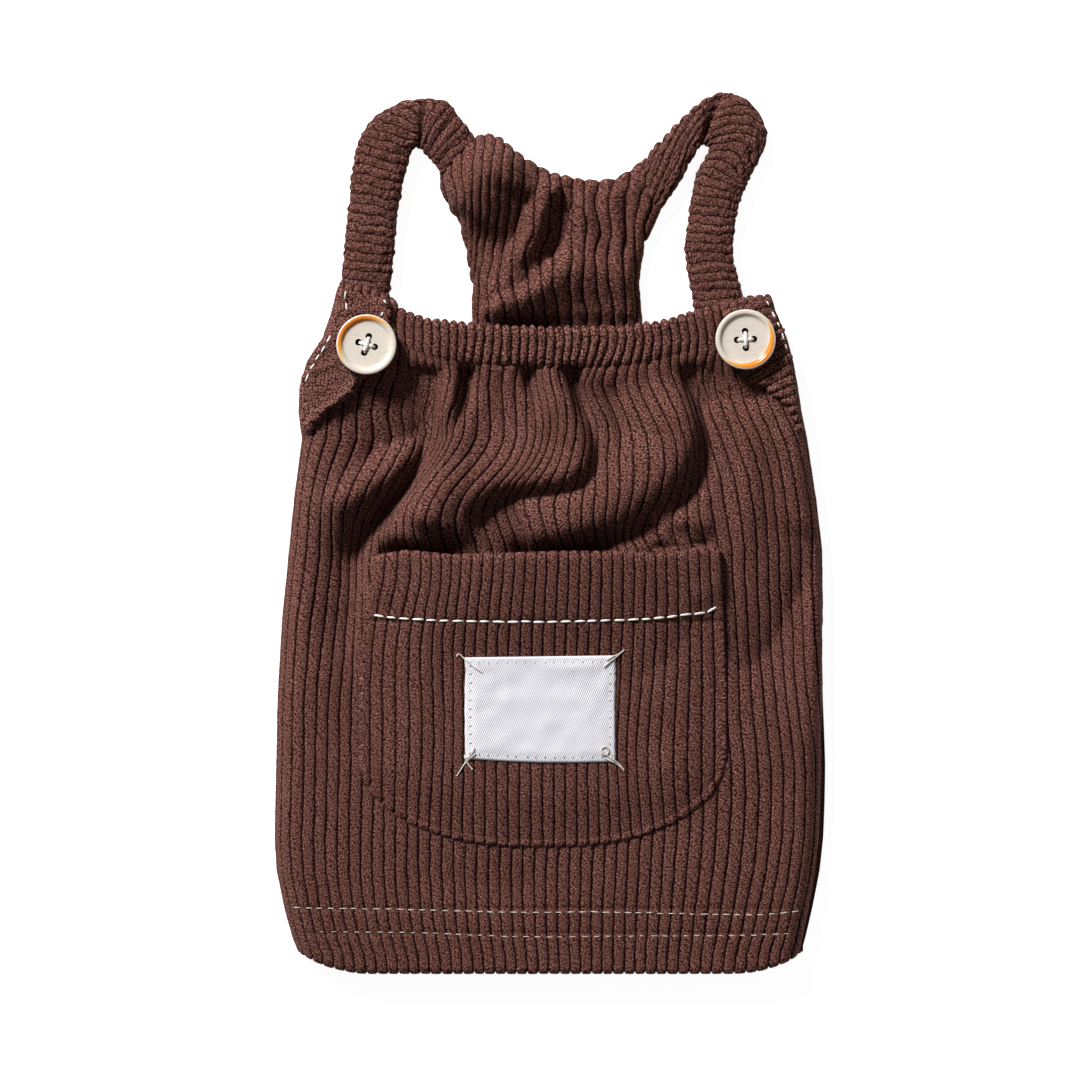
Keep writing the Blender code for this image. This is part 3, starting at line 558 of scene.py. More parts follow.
@dataclass
class FoldMap:
    """The creases of one piece, worked out once on a fine map and softened a little."""

    creases: tuple[Crease, ...]
    low: tuple[float, float]
    high: tuple[float, float]
    step: float = 0.5
    soften: int = 5
    heights: Array = field(init=False)

    def __post_init__(self) -> None:
        """Works the map out."""
        x = np.arange(self.low[0], self.high[0], self.step)
        y = np.arange(self.low[1], self.high[1], self.step)
        heights = crease_height(self.creases, *np.meshgrid(x, y))
        for _ in range(self.soften):
            for axis in (0, 1):
                heights = blurred(heights, axis)
        self.heights = heights

    def at(self, x: Array, y: Array) -> Array:
        """Reads the map.

        Args:
            x: Places to the right.
            y: Places up the garment.

        Returns:
            How far the creases stand out at each place.
        """
        column_at = np.clip((x - self.low[0]) / self.step, 0, self.heights.shape[1] - 1.001)
        row_at = np.clip((y - self.low[1]) / self.step, 0, self.heights.shape[0] - 1.001)
        i, j = row_at.astype(int), column_at.astype(int)
        up, right = row_at - i, column_at - j
        lower = self.heights[i, j] * (1 - right) + self.heights[i, j + 1] * right
        upper = self.heights[i + 1, j] * (1 - right) + self.heights[i + 1, j + 1] * right
        return lower * (1 - up) + upper * up


# ---------------------------------------------------------------- meshes


def normals_of(surface: Array) -> Array:
    """Works out which way a grid of points faces.

    Args:
        surface: The points, in rows.

    Returns:
        The unit normal at each point.
    """
    slope_up, slope_across = np.gradient(surface, axis=0), np.gradient(surface, axis=1)
    normal = np.cross(slope_across, slope_up)
    return normal / np.maximum(np.linalg.norm(normal, axis=-1, keepdims=True), 1e-9)


def make_mesh_object(name: str, points: Array, faces: list, uv: Array | None = None) -> bpy.types.Object:
    """Makes a mesh object whose faces point outwards.

    Args:
        name: The object's name.
        points: Places in millimetres.
        faces: Tuples of point numbers.
        uv: The place on the flat cloth of each point, in wales.

    Returns:
        The object, shaded smooth.
    """
    fan = np.array([(f[0], f[i], f[i + 1]) for f in faces for i in range(1, len(f) - 1)])
    corners = points[fan]
    volume = np.einsum("ij,ij->i", corners[:, 0], np.cross(corners[:, 1], corners[:, 2])).sum()
    if volume < 0:
        faces = [f[::-1] for f in faces]
    mesh = bpy.data.meshes.new(name)
    mesh.from_pydata((points * MM).tolist(), [], faces)
    if uv is not None:
        loops = np.empty(len(mesh.loops), np.int32)
        mesh.loops.foreach_get("vertex_index", loops)
        mesh.uv_layers.new(name=CLOTH_UV).data.foreach_set("uv", uv[loops].astype(np.float32).ravel())
    mesh.shade_smooth()
    obj = bpy.data.objects.new(name, mesh)
    bpy.context.scene.collection.objects.link(obj)
    return obj


def set_nap(piece: bpy.types.Object, gathered: Array | float = 0.0, grooved: Array | float = 1.0) -> None:
    """Tells the shader how the pile lies on a piece.

    Args:
        piece: The piece of corduroy.
        gathered: 1 where the cloth is gathered and its tufts lie in rows, for each of the first points.
        grooved: 1 where the grooves between the wales get painted shade and a lowered bump.
    """
    nap = np.zeros((len(piece.data.vertices), 3), np.float32)
    gathered = np.ravel(gathered)
    nap[:, 0] = gathered[0] if len(gathered) == 1 else 0.0
    nap[: len(gathered), 0] = gathered
    nap[:, 1] = grooved
    piece.data.attributes.new(NAP, "FLOAT_VECTOR", "POINT").data.foreach_set("vector", nap.ravel())


def grid_faces(numbers: Array, closed: bool = False) -> list[tuple[int, ...]]:
    """Joins a grid of points with quads.

    Args:
        numbers: The points' numbers, in rows.
        closed: Whether the rows close into rings.

    Returns:
        The faces.
    """
    if closed:
        numbers = np.concatenate([numbers, numbers[:, :1]], axis=1)
    quads = np.stack([numbers[:-1, :-1], numbers[:-1, 1:], numbers[1:, 1:], numbers[1:, :-1]], axis=-1)
    return [tuple(quad) for quad in quads.reshape(-1, 4).tolist()]


def rim_faces(fine: Array, coarse: Array, turned: bool) -> list[tuple[int, ...]]:
    """Joins a fine edge to a coarse one that has a whole fraction of its points.

    Args:
        fine: The point numbers of the fine edge.
        coarse: Those of the coarse edge.
        turned: Whether the faces run the other way round.

    Returns:
        The faces, all triangles.
    """
    step = (len(fine) - 1) // (len(coarse) - 1)
    half = step // 2
    faces = []
    for i in range(len(coarse) - 1):
        first = i * step
        for j in range(step):
            corner = coarse[i] if j < half else coarse[i + 1]
            faces.append((fine[first + j + 1], fine[first + j], corner))
        faces.append((coarse[i], coarse[i + 1], fine[first + half]))
    faces = [tuple(int(number) for number in face) for face in faces]
    return [face[::-1] for face in faces] if turned else faces


def grid_shell(
    name: str, outer: Array, inner: Array, uv: Array, steps: tuple[int, int], closed: bool = False
) -> bpy.types.Object:
    """Makes a wall of cloth with a fine outer face and a coarse inner one.

    Args:
        name: The object's name.
        outer: The outer face's points, in rows.
        inner: The inner face's points, as many as the outer ones.
        uv: The place on the flat cloth of each outer point.
        steps: How many outer rows and columns go to one inner one.
        closed: Whether the rows close into rings.

    Returns:
        The object.
    """
    inner = inner[:: steps[0], :: steps[1]]
    rows, columns = outer.shape[:2]
    inner_rows, inner_columns = inner.shape[:2]
    fine = np.arange(rows * columns).reshape(rows, columns)
    coarse = rows * columns + np.arange(inner_rows * inner_columns).reshape(inner_rows, inner_columns)
    faces = grid_faces(fine, closed) + [face[::-1] for face in grid_faces(coarse, closed)]
    ring = (lambda row: np.append(row, row[0])) if closed else (lambda row: row)
    faces += rim_faces(ring(fine[0]), ring(coarse[0]), False)
    faces += rim_faces(ring(fine[-1]), ring(coarse[-1]), True)
    if not closed:
        faces += rim_faces(fine[:, 0], coarse[:, 0], True)
        faces += rim_faces(fine[:, -1], coarse[:, -1], False)
    points = np.concatenate([outer.reshape(-1, 3), inner.reshape(-1, 3)])
    inner_uv = uv[:: steps[0], :: steps[1]]
    both = np.concatenate([uv.reshape(-1, 2), inner_uv.reshape(-1, 2)])
    return make_mesh_object(name, points, faces, both)


def tube(line: Array, radius: Array | float, sides: int) -> tuple[Array, list[tuple[int, ...]]]:
    """Sweeps a closed round tube along a line.

    Args:
        line: The places that it follows.
        radius: Its radius, or one for each place.
        sides: How many sides it has.

    Returns:
        Its points and its faces.
    """
    line = np.asarray(line, float)
    heading = np.gradient(line, axis=0)
    heading /= np.linalg.norm(heading, axis=1, keepdims=True)
    side = np.cross(heading, (0.013, 0.021, 1.0))
    side /= np.linalg.norm(side, axis=1, keepdims=True)
    lift = np.cross(side, heading)
    turn = np.arange(sides) * math.tau / sides
    radius = np.broadcast_to(radius, len(line))[:, None, None]
    ring = np.cos(turn)[None, :, None] * side[:, None] + np.sin(turn)[None, :, None] * lift[:, None]
    points = (line[:, None] + radius * ring).reshape(-1, 3)
    numbers = np.arange(len(points)).reshape(len(line), sides)
    caps = [tuple(numbers[0].tolist()), tuple(numbers[-1, ::-1].tolist())]
    return points, grid_faces(numbers, True) + caps


@dataclass
class Surface:
    """Finds how high a finished piece stands, so that sewing lies on it."""

    piece: bpy.types.Object
    tree: BVHTree = field(init=False)

    def __post_init__(self) -> None:
        """Builds the search tree of the piece's mesh."""
        mesh = self.piece.data
        vertices = [vertex.co for vertex in mesh.vertices]
        self.tree = BVHTree.FromPolygons(vertices, [tuple(face.vertices) for face in mesh.polygons])

    def top(self, x: float, y: float) -> float:
        """Returns the height of the upper face at a place, in millimetres, or 0 beside the piece."""
        hit = self.tree.ray_cast(Vector((x * MM, y * MM, 1.0)), Vector((0.0, 0.0, -1.0)))[0]
        return 0.0 if hit is None else hit.z / MM


# ---------------------------------------------------------------- finishes


class Nodes:
    """A small hand for building node trees."""

    def __init__(self, tree: bpy.types.NodeTree) -> None:
        """Keeps the tree that the nodes go in."""
        self.tree = tree

    def add(self, kind: str, **values: object) -> bpy.types.Node:
        """Adds a node and sets its properties.

        Args:
            kind: The node's type name.
            values: Properties, such as operation="MULTIPLY".

        Returns:
            The node.
        """
        node = self.tree.nodes.new(kind)
        for name, value in values.items():
            setattr(node, name, value)
        return node

    def feed(self, socket: bpy.types.NodeSocket, value: object) -> None:
        """Links an output to a socket, or sets the socket to a plain value.

        Args:
            socket: The input to feed.
            value: An output, a plain value, or None to leave it as it is.
        """
        if isinstance(value, bpy.types.NodeSocket):
            self.tree.links.new(value, socket)
        elif value is not None:
            socket.default_value = value

    def put(self, node: bpy.types.Node, values: dict[str | int, object]) -> bpy.types.Node:
        """Feeds several inputs of a node.

        Args:
            node: The node.
            values: What goes into each input, by its title or number.

        Returns:
            The node.
        """
        for title, value in values.items():
            self.feed(node.inputs[title], value)
        return node

    def math(self, operation: str, first: object, second: object = None, clamp: bool = False) -> object:
        """Returns the output of a Math node."""
        node = self.add("ShaderNodeMath", operation=operation, use_clamp=clamp)
        return self.put(node, {0: first, 1: second}).outputs[0]

    def sum_of(self, first: object, by: object, second: object, by_second: object) -> object:
        """Returns the sum of two values, each multiplied by its own factor."""
        return self.math("ADD", self.math("MULTIPLY", first, by), self.math("MULTIPLY", second, by_second))

    def vector(self, operation: str, first: object, second: object = None) -> bpy.types.Node:
        """Returns a Vector Math node."""
        return self.put(self.add("ShaderNodeVectorMath", operation=operation), {0: first, 1: second})

    def tufts(self, vector: object, scale: float, randomness: float) -> object:
        """Makes small domes, one round each point of a Voronoi pattern.

        Args:
            vector: Where the pattern is read.
            scale: How many domes there are to a unit.
            randomness: How far their points leave a plain grid, from 0 to 1.

        Returns:
            Their height, from 0 to 1.
        """
        cells = self.add("ShaderNodeTexVoronoi", feature="F1", voronoi_dimensions="2D")
        self.put(cells, {"Vector": vector, "Scale": scale, "Randomness": randomness})
        return self.math("SUBTRACT", 1.0, self.math("MULTIPLY", cells.outputs["Distance"], 1.2), True)

    def ramp(self, value: object, low: float, high: float) -> object:
        """Returns 0 below low, 1 above high and a smooth rise between them."""
        node = self.add("ShaderNodeMapRange", interpolation_type="SMOOTHSTEP", clamp=True)
        return self.put(node, {"Value": value, "From Min": low, "From Max": high}).outputs["Result"]

    def mix(self, share: object, first: object, second: object) -> object:
        """Returns a mix of two colours."""
        node = self.add("ShaderNodeMix", data_type="RGBA")
        return self.put(node, {"Factor": share, 6: first, 7: second}).outputs[2]

    def place(self, vector: object, scale: tuple, turn: float = 0.0, shift: tuple = (0, 0, 0)) -> object:
        """Scales, turns and shifts a vector with a Mapping node.

        Args:
            vector: The vector.
            scale: Its scale along each axis.
            turn: Its turn round Z, in radians.
            shift: How far it is moved.

        Returns:
            The output.
        """
        node = self.add("ShaderNodeMapping", vector_type="POINT")
        values = {"Vector": vector, "Scale": scale, "Rotation": (0.0, 0.0, turn), "Location": shift}
        return self.put(node, values).outputs["Vector"]

    def noise(self, vector: object, scale: float, detail: float = 2.0) -> object:
        """Returns a noise value."""
        node = self.add("ShaderNodeTexNoise", noise_dimensions="3D")
        return self.put(node, {"Vector": vector, "Scale": scale, "Detail": detail}).outputs["Fac"]


def new_group(name: str, inputs: dict[str, tuple[str, object]], outputs: dict[str, str]) -> tuple:
    """Starts a shader node group.

    Args:
        name: The group's name.
        inputs: Each input's socket type and default.
        outputs: Each output's socket type.

    Returns:
        The group, a Nodes hand for it, its input node and its output node.
    """
    group = bpy.data.node_groups.new(name, "ShaderNodeTree")
    for title, (kind, default) in inputs.items():
        socket = group.interface.new_socket(name=title, in_out="INPUT", socket_type=kind)
        if default is not None:
            socket.default_value = default
    for title, kind in outputs.items():
        group.interface.new_socket(name=title, in_out="OUTPUT", socket_type=kind)
    nodes = Nodes(group)
    return group, nodes, nodes.add("NodeGroupInput"), nodes.add("NodeGroupOutput")


def make_pile_group() -> bpy.types.NodeTree:
    """Builds the corduroy's nap: tufts on the wales, lint and painted sheen on their tips, painted shade in
    the grooves and between the tufts, and worn or brushed areas.

    Returns:
        The group. It reads the cloth's flat place, where one unit across is one wale.
    """
    group, nodes, given, out = new_group(
        "corduroy_pile",
        {
            "Cloth": ("NodeSocketVector", None),
            "Body": ("NodeSocketColor", (0.1, 0.04, 0.03, 1.0)),
            # the tips' colour is partly lint and partly painted sheen; the grooves' colour is painted shade
            "Lint And Sheen Tip": ("NodeSocketColor", (0.2, 0.1, 0.08, 1.0)),
            "Shaded Groove": ("NodeSocketColor", (0.02, 0.006, 0.005, 1.0)),
            "Groove Share": ("NodeSocketFloat", 0.8),
            "Nap": ("NodeSocketVector", None),
        },
        {"Color": "NodeSocketColor", "Height": "NodeSocketFloat"},
    )
    cloth = given.outputs["Cloth"]
    apart = nodes.put(nodes.add("ShaderNodeSeparateXYZ"), {0: cloth})
    nap = nodes.put(nodes.add("ShaderNodeSeparateXYZ"), {0: given.outputs["Nap"]})
    gathered, grooved = nap.outputs["X"], nap.outputs["Y"]
    # the grooves at the wales' edges, which get painted shade and a lower bump
    fraction = nodes.math("FRACT", apart.outputs["X"])
    from_middle = nodes.math("MULTIPLY", nodes.math("ABSOLUTE", nodes.math("SUBTRACT", fraction, 0.5)), 2.0)
    ragged = nodes.math("MULTIPLY", nodes.math("SUBTRACT", nodes.noise(cloth, 8.0, 1.0), 0.5), 0.50)
    shaded_groove = nodes.ramp(nodes.math("ADD", from_middle, ragged), 0.81, 0.93)

    # tufts that climb to the right, about half a millimetre wide and a millimetre long
    slanted = nodes.place(cloth, (1.0, 1.0, 1.0), math.radians(-42))
    stretched = nodes.place(slanted, (0.40, 1.0, 1.0))
    tuft = nodes.tufts(stretched, 9.8, 0.85)
    fibres = nodes.noise(stretched, 13.0, 0.0)
    brushed_height = nodes.sum_of(tuft, 0.55, fibres, 0.75)

    # on gathered cloth the tufts lie in short rows across each wale, about a millimetre apart
    knot = nodes.tufts(nodes.place(cloth, (0.62, 1.0, 1.0), math.radians(-10)), 5.2, 0.75)
    gathered_height = nodes.sum_of(knot, 0.66, fibres, 0.66)
    height = nodes.sum_of(brushed_height, nodes.math("SUBTRACT", 1.0, gathered), gathered_height, gathered)
    brushed = nodes.noise(nodes.place(cloth, (0.35, 0.14, 1.0)), 1.0)
    # lighter tuft tips: partly lint, partly painted sheen
    lint_and_sheen = nodes.math("ADD", height, nodes.math("MULTIPLY", nodes.math("SUBTRACT", brushed, 0.5), 0.12))
    color = nodes.mix(nodes.ramp(lint_and_sheen, 0.66, 1.02), given.outputs["Body"], given.outputs["Lint And Sheen Tip"])
    # painted shade in the low places between the tufts
    pit_shade = nodes.math("MULTIPLY", nodes.ramp(height, 0.68, 0.36), 0.95)
    color = nodes.mix(pit_shade, color, given.outputs["Shaded Groove"])
    # painted shade in the grooves, where the nap lets it show
    shaded_groove = nodes.math("MULTIPLY", shaded_groove, grooved)
    shaded_groove_share = nodes.math("MULTIPLY", shaded_groove, given.outputs["Groove Share"])
    color = nodes.mix(shaded_groove_share, color, given.outputs["Shaded Groove"])
    height = nodes.math("SUBTRACT", height, nodes.math("MULTIPLY", shaded_groove, 0.35))
    nodes.put(out, {"Color": color, "Height": height})
    return group


def make_weave_group() -> bpy.types.NodeTree:
    """Builds a fine twill: slanted threads with small uneven steps.

    Returns:
        The group. It reads the cloth's flat place in millimetres.
    """
    group, nodes, given, out = new_group(
        "fine_twill",
        {
            "Cloth": ("NodeSocketVector", None),
            "Light": ("NodeSocketColor", (0.8, 0.8, 0.8, 1.0)),
            "Shade": ("NodeSocketColor", (0.5, 0.5, 0.6, 1.0)),
        },
        {"Color": "NodeSocketColor", "Height": "NodeSocketFloat"},
    )
    cloth = given.outputs["Cloth"]
    lines = nodes.add("ShaderNodeTexWave", wave_type="BANDS", bands_direction="X", wave_profile="SIN")
    slanted = nodes.place(cloth, (1.0, 1.0, 1.0), math.radians(24))
    nodes.put(lines, {"Vector": slanted, "Scale": 0.55, "Distortion": 0.6, "Detail": 2, "Detail Scale": 1.5})
    threads = nodes.noise(nodes.place(cloth, (1.0, 3.0, 1.0)), 2.2)
    height = nodes.sum_of(lines.outputs["Fac"], 0.7, threads, 0.5)
    color = nodes.mix(nodes.ramp(height, 0.75, 0.25), given.outputs["Light"], given.outputs["Shade"])
    nodes.put(out, {"Color": color, "Height": height})
    return group


@dataclass(frozen=True)
class Finish:
    """What every finish shares: a name and a Principled shader with a few plain values."""

    name: str
    roughness: float

    def start(self, values: dict[str, object]) -> tuple[bpy.types.Material, Nodes, bpy.types.Node]:
        """Makes the material.

        Args:
            values: Plain values of its shader's inputs, besides its roughness.

        Returns:
            The material, a Nodes hand for its tree and its shader.
        """
        material = bpy.data.materials.new(self.name)
        material.use_nodes = True
        nodes = Nodes(material.node_tree)
        shader = material.node_tree.nodes["Principled BSDF"]
        return material, nodes, nodes.put(shader, {"Roughness": self.roughness, **values})

    def bump(self, nodes: Nodes, shader: bpy.types.Node, height: object, depth: float) -> None:
        """Adds a bump.

        Args:
            nodes: The hand for the material's tree.
            shader: The shader that it goes into.
            height: The output that gives its height.
            depth: Its depth in millimetres.
        """
        node = nodes.add("ShaderNodeBump")
        nodes.put(node, {"Distance": depth * MM, "Strength": 1.0, "Height": height})
        nodes.feed(shader.inputs["Normal"], node.outputs["Normal"])

    def cloth_group(self, nodes: Nodes, group: bpy.types.NodeTree) -> bpy.types.Node:
        """Places a shared group on the cloth's map.

        Args:
            nodes: The hand for the material's tree.
            group: The shared group.

        Returns:
            The group's node.
        """
        flat = nodes.add("ShaderNodeUVMap", uv_map=CLOTH_UV)
        node = nodes.add("ShaderNodeGroup", node_tree=group)
        return nodes.put(node, {"Cloth": flat.outputs["UV"]})


@dataclass(frozen=True)
class Corduroy(Finish):
    """Brushed cotton corduroy."""

    body: tuple[float, float, float]
    # the tips' colour is partly lint and partly painted sheen
    lint_and_sheen_tip: tuple[float, float, float]
    # the grooves' colour is painted shade, also used between the tufts
    shaded_groove: tuple[float, float, float]
    shaded_groove_share: float
    tuft_depth: float
    sheen: float = 0.04

    def make(self, group: bpy.types.NodeTree) -> bpy.types.Material:
        """Makes the material.

        Args:
            group: The shared pile group.

        Returns:
            The material.
        """
        material, nodes, shader = self.start({
            "Sheen Weight": self.sheen,
            "Sheen Roughness": 0.45,
            "Sheen Tint": (0.55, 0.32, 0.26, 1.0),
            "Specular IOR Level": 0.04,
        })
        pile = self.cloth_group(nodes, group)
        nap = nodes.add("ShaderNodeAttribute", attribute_type="GEOMETRY", attribute_name=NAP)
        nodes.put(pile, {
            "Body": (*self.body, 1.0),
            "Lint And Sheen Tip": (*self.lint_and_sheen_tip, 1.0),
            "Shaded Groove": (*self.shaded_groove, 1.0),
            "Groove Share": self.shaded_groove_share,
            "Nap": nap.outputs["Vector"],
        })
        nodes.feed(shader.inputs["Base Color"], pile.outputs["Color"])
        self.bump(nodes, shader, pile.outputs["Height"], self.tuft_depth)
        return material


@dataclass(frozen=True)
class Twill(Finish):
    """Woven white label tape."""

    light: tuple[float, float, float]
    shade: tuple[float, float, float]

    def make(self, group: bpy.types.NodeTree) -> bpy.types.Material:
        """Makes the material.

        Args:
            group: The shared twill group.

        Returns:
            The material.
        """
        material, nodes, shader = self.start({"Sheen Weight": 0.08, "Specular IOR Level": 0.3})
        weave = self.cloth_group(nodes, group)
        nodes.put(weave, {"Light": (*self.light, 1.0), "Shade": (*self.shade, 1.0)})
        nodes.feed(shader.inputs["Base Color"], weave.outputs["Color"])
        self.bump(nodes, shader, weave.outputs["Height"], 0.12)
        return material


@dataclass(frozen=True)
class Thread(Finish):
    """Spun sewing thread."""

    color: tuple[float, float, float]
    # the painted shade in the hollows between the plies
    ply_shade: tuple[float, float, float]

    def make(self) -> bpy.types.Material:
        """Makes the material: twisted plies with painted shade in their hollows, patchy and slightly uneven,
        on Object coordinates.

        Returns:
            The material.
        """
        material, nodes, shader = self.start({"Sheen Weight": 0.1})
        here = nodes.add("ShaderNodeTexCoord").outputs["Object"]
        plies = nodes.noise(nodes.place(here, (1.0, 1.0, 1.0), math.radians(30)), 2600.0)
        # painted shade in the hollows of the plies, in patches
        patchy = nodes.noise(here, 160.0)
        share = nodes.math("MULTIPLY", nodes.ramp(plies, 0.62, 0.35), nodes.ramp(patchy, 0.3, 0.75))
        nodes.feed(shader.inputs["Base Color"], nodes.mix(share, (*self.color, 1.0), (*self.ply_shade, 1.0)))
        self.bump(nodes, shader, plies, 0.1)
        return material


@dataclass(frozen=True)
class ButtonPlastic(Finish):
    """Cream resin with an amber crescent cast into one side."""

    cream: tuple[float, float, float]
    shade: tuple[float, float, float]
    amber: tuple[float, float, float]
    amber_light: tuple[float, float, float]

    def make(self, middle: Vector, toward: float, radius: float, crescent: tuple) -> bpy.types.Material:
        """Makes the material for one button.

        Args:
            middle: The button's middle, in metres.
            toward: The direction of the crescent's thickest place, in radians from +X.
            radius: The button's radius, in metres.
            crescent: The radius of the outer circle, of the inner circle, and how far that is shifted,
                as shares of the button's radius.

        Returns:
            The material.
        """
        material, nodes, shader = self.start({
            "IOR": 1.5,
            "Coat Weight": 0.35,
            "Coat Roughness": 0.08,
            "Subsurface Weight": 0.08,
            "Subsurface Radius": (0.002, 0.0014, 0.0008),
        })
        here = nodes.add("ShaderNodeTexCoord").outputs["Object"]
        size = 1.0 / radius
        shift = (-middle.x * size, -middle.y * size, 0.0)
        local = nodes.place(here, (size, size, 0.0), 0.0, shift)
        outer, inner, offset = crescent
        heading = (math.cos(toward), math.sin(toward), 0.0)
        away = nodes.vector("LENGTH", local).outputs["Value"]
        inside = nodes.ramp(away, outer + 0.012, outer - 0.012)
        moved = nodes.vector("ADD", local, tuple(offset * part for part in heading)).outputs["Vector"]
        away_inner = nodes.vector("LENGTH", moved).outputs["Value"]
        outside = nodes.ramp(away_inner, inner - 0.008, inner + 0.030)
        deep = nodes.ramp(nodes.vector("DOT_PRODUCT", local, heading).outputs["Value"], 0.05, 0.95)
        marbled = nodes.noise(nodes.place(local, (1.0, 3.0, 1.0), 0.6), 3.0, 3.0)
        face = nodes.mix(nodes.ramp(marbled, 0.45, 0.8), (*self.cream, 1.0), (*self.shade, 1.0))
        orange = nodes.mix(deep, (*self.amber_light, 1.0), (*self.amber, 1.0))
        color = nodes.mix(nodes.math("MULTIPLY", inside, outside), face, orange)
        nodes.feed(shader.inputs["Base Color"], color)
        scuffs = nodes.noise(nodes.place(here, (1.0, 1.0, 1.0)), 1500.0, 3.0)
        worn = nodes.math("ADD", self.roughness - 0.04, nodes.math("MULTIPLY", scuffs, 0.12))
        nodes.feed(shader.inputs["Roughness"], worn)
        self.bump(nodes, shader, scuffs, 0.012)
        return material


BROWN = Corduroy(
    "brown_corduroy",
    0.92,
    body=(0.095, 0.0357, 0.0278),
    # the tips' colour: partly lint, partly painted sheen
    lint_and_sheen_tip=(0.300, 0.153, 0.128),
    # the grooves' colour: painted shade
    shaded_groove=(0.012, 0.0022, 0.0012),
    shaded_groove_share=0.95,
    tuft_depth=0.12,
)
LABEL_TWILL = Twill("white_label_twill", 0.62, light=(0.80, 0.79, 0.83), shade=(0.58, 0.57, 0.62))
# each thread's second colour is the painted shade between its plies
WHITE_THREAD = Thread("white_thread", 0.7, color=(0.86, 0.83, 0.78), ply_shade=(0.56, 0.51, 0.46))
CREAM_THREAD = Thread("cream_thread", 0.7, color=(0.64, 0.59, 0.53), ply_shade=(0.36, 0.31, 0.26))
CREAM_RESIN = ButtonPlastic(
    "cream_resin",
    0.26,
    cream=(0.68, 0.61, 0.53),
    shade=(0.61, 0.53, 0.44),
    amber=(0.70, 0.19, 0.008),
    amber_light=(0.84, 0.42, 0.07),
)


# ---------------------------------------------------------------- wales


@dataclass(frozen=True)
class Wales:
    """The raised cords of corduroy: where the columns of points fall on one, and how high they are."""

    height: float = 0.82
    steps: tuple[float, ...] = (0.0, 0.07, 0.20, 0.50, 0.80, 0.93)
    rise: tuple[float, ...] = (0.0, 0.72, 0.95, 1.0, 0.95, 0.72)
    tuft: float = 0.02
    lump: float = 0.02
    sway: float = 0.10
    gathered_gain: float = 1.45

    def columns(self, count: int) -> Array:
        """Returns the columns' places across a cloth of that many wales, in wales."""
        places = [wale + step for wale in range(count) for step in self.steps]
        return np.array(places + [float(count)])

    def relief(self, rng: np.random.Generator, rows: int, count: int, gathered: Array | float = 0.0) -> Array:
        """Works out how far the wales stand out.

        Args:
            rng: The seeded source of random numbers.
            rows: Rows of points.
            count: How many wales there are.
            gathered: 1 where the cloth is gathered, which makes the wales rounder and higher.

        Returns:
            The height of each point, tufts and all, as rows by columns.
        """
        calm = np.append(np.tile(self.rise, count), self.rise[0])
        rounded = np.append(np.tile(np.sin(math.pi * np.array(self.steps)) ** 0.8, count), 0.0)
        profile = calm + gathered * (self.gathered_gain * rounded - calm)
        tufts = soft_noise(rng, rows, len(calm), (1, 1))
        lumps = soft_noise(rng, rows, len(calm), (4, 8))
        relief = self.height * profile * (1.0 + (self.lump + 0.1 * gathered) * lumps)
        return relief + self.tuft * (1.0 + gathered) * tufts * (0.35 + 0.65 * profile)

    def swaying(self, rng: np.random.Generator, rows: int, count: int) -> Array:
        """Lets the wales sway a little, as no wale is quite straight.

        Args:
            rng: The seeded source of random numbers.
            rows: Rows of points.
            count: How many wales there are.

        Returns:
            How far each point is shifted across, in millimetres.
        """
        columns = count * len(self.steps) + 1
        slow = soft_noise(rng, rows, columns, (40, 6))
        quick = soft_noise(rng, rows, columns, (4, 3))
        return self.sway * (0.7 * slow + 0.6 * quick)


def lengthwise(
    low: Array, high: Array, rows: int, low_round: float, high_round: float
) -> tuple[Array, Array]:
    """Spreads rows up a cloth, close together where its two ends turn over.

    Args:
        low: Where each column starts.
        high: Where each column ends.
        rows: How many rows there are.
        low_round: The radius of the lower edge.
        high_round: The radius of the upper edge.

    Returns:
        The level of each point, and how far the rounding drops it.
    """
    bend = np.linspace(0, math.pi / 2, EDGE_ROWS + 1)[:-1]
    inward = 1 - np.cos(bend)
    drops = 1 - np.sin(bend)
    middle = np.linspace(0, 1, rows - 2 * EDGE_ROWS)[:, None]
    first, last = low + low_round, high - high_round
    y = np.concatenate([
        low[None] + low_round * inward[:, None],
        first[None] + middle * (last - first)[None],
        high[None] - high_round * inward[::-1, None],
    ])
    drop = np.concatenate([
        np.broadcast_to(low_round * drops[:, None], (EDGE_ROWS, len(low))),
        np.zeros((rows - 2 * EDGE_ROWS, len(low))),
        np.broadcast_to(high_round * drops[::-1, None], (EDGE_ROWS, len(low))),
    ])
    return y, drop


# ---------------------------------------------------------------- the dress


@dataclass
class Workshop:
    """The finishes that the pieces share, made once."""

    corduroy: bpy.types.Material = field(init=False)
    twill: bpy.types.Material = field(init=False)
    white_thread: bpy.types.Material = field(init=False)
    cream_thread: bpy.types.Material = field(init=False)

    def __post_init__(self) -> None:
        """Makes the shared groups and materials."""
        self.corduroy = BROWN.make(make_pile_group())
        self.twill = LABEL_TWILL.make(make_weave_group())
        self.white_thread = WHITE_THREAD.make()
        self.cream_thread = CREAM_THREAD.make()


def hand_over(
    piece: bpy.types.Object, material: bpy.types.Material, slot: str, *nodes: str
) -> bpy.types.Object:
    """Gives a piece its finish and its place in the frame.

    Args:
        piece: The finished piece.
        material: Its finish.
        slot: The record's slot that the finish stands for; not used.
        nodes: The solids that it replaces.

    Returns:
        The piece.
    """
    piece.data.materials.clear()
    piece.data.materials.append(material)
    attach(piece, BODY)
    if nodes:
        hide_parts(*nodes)
    return piece


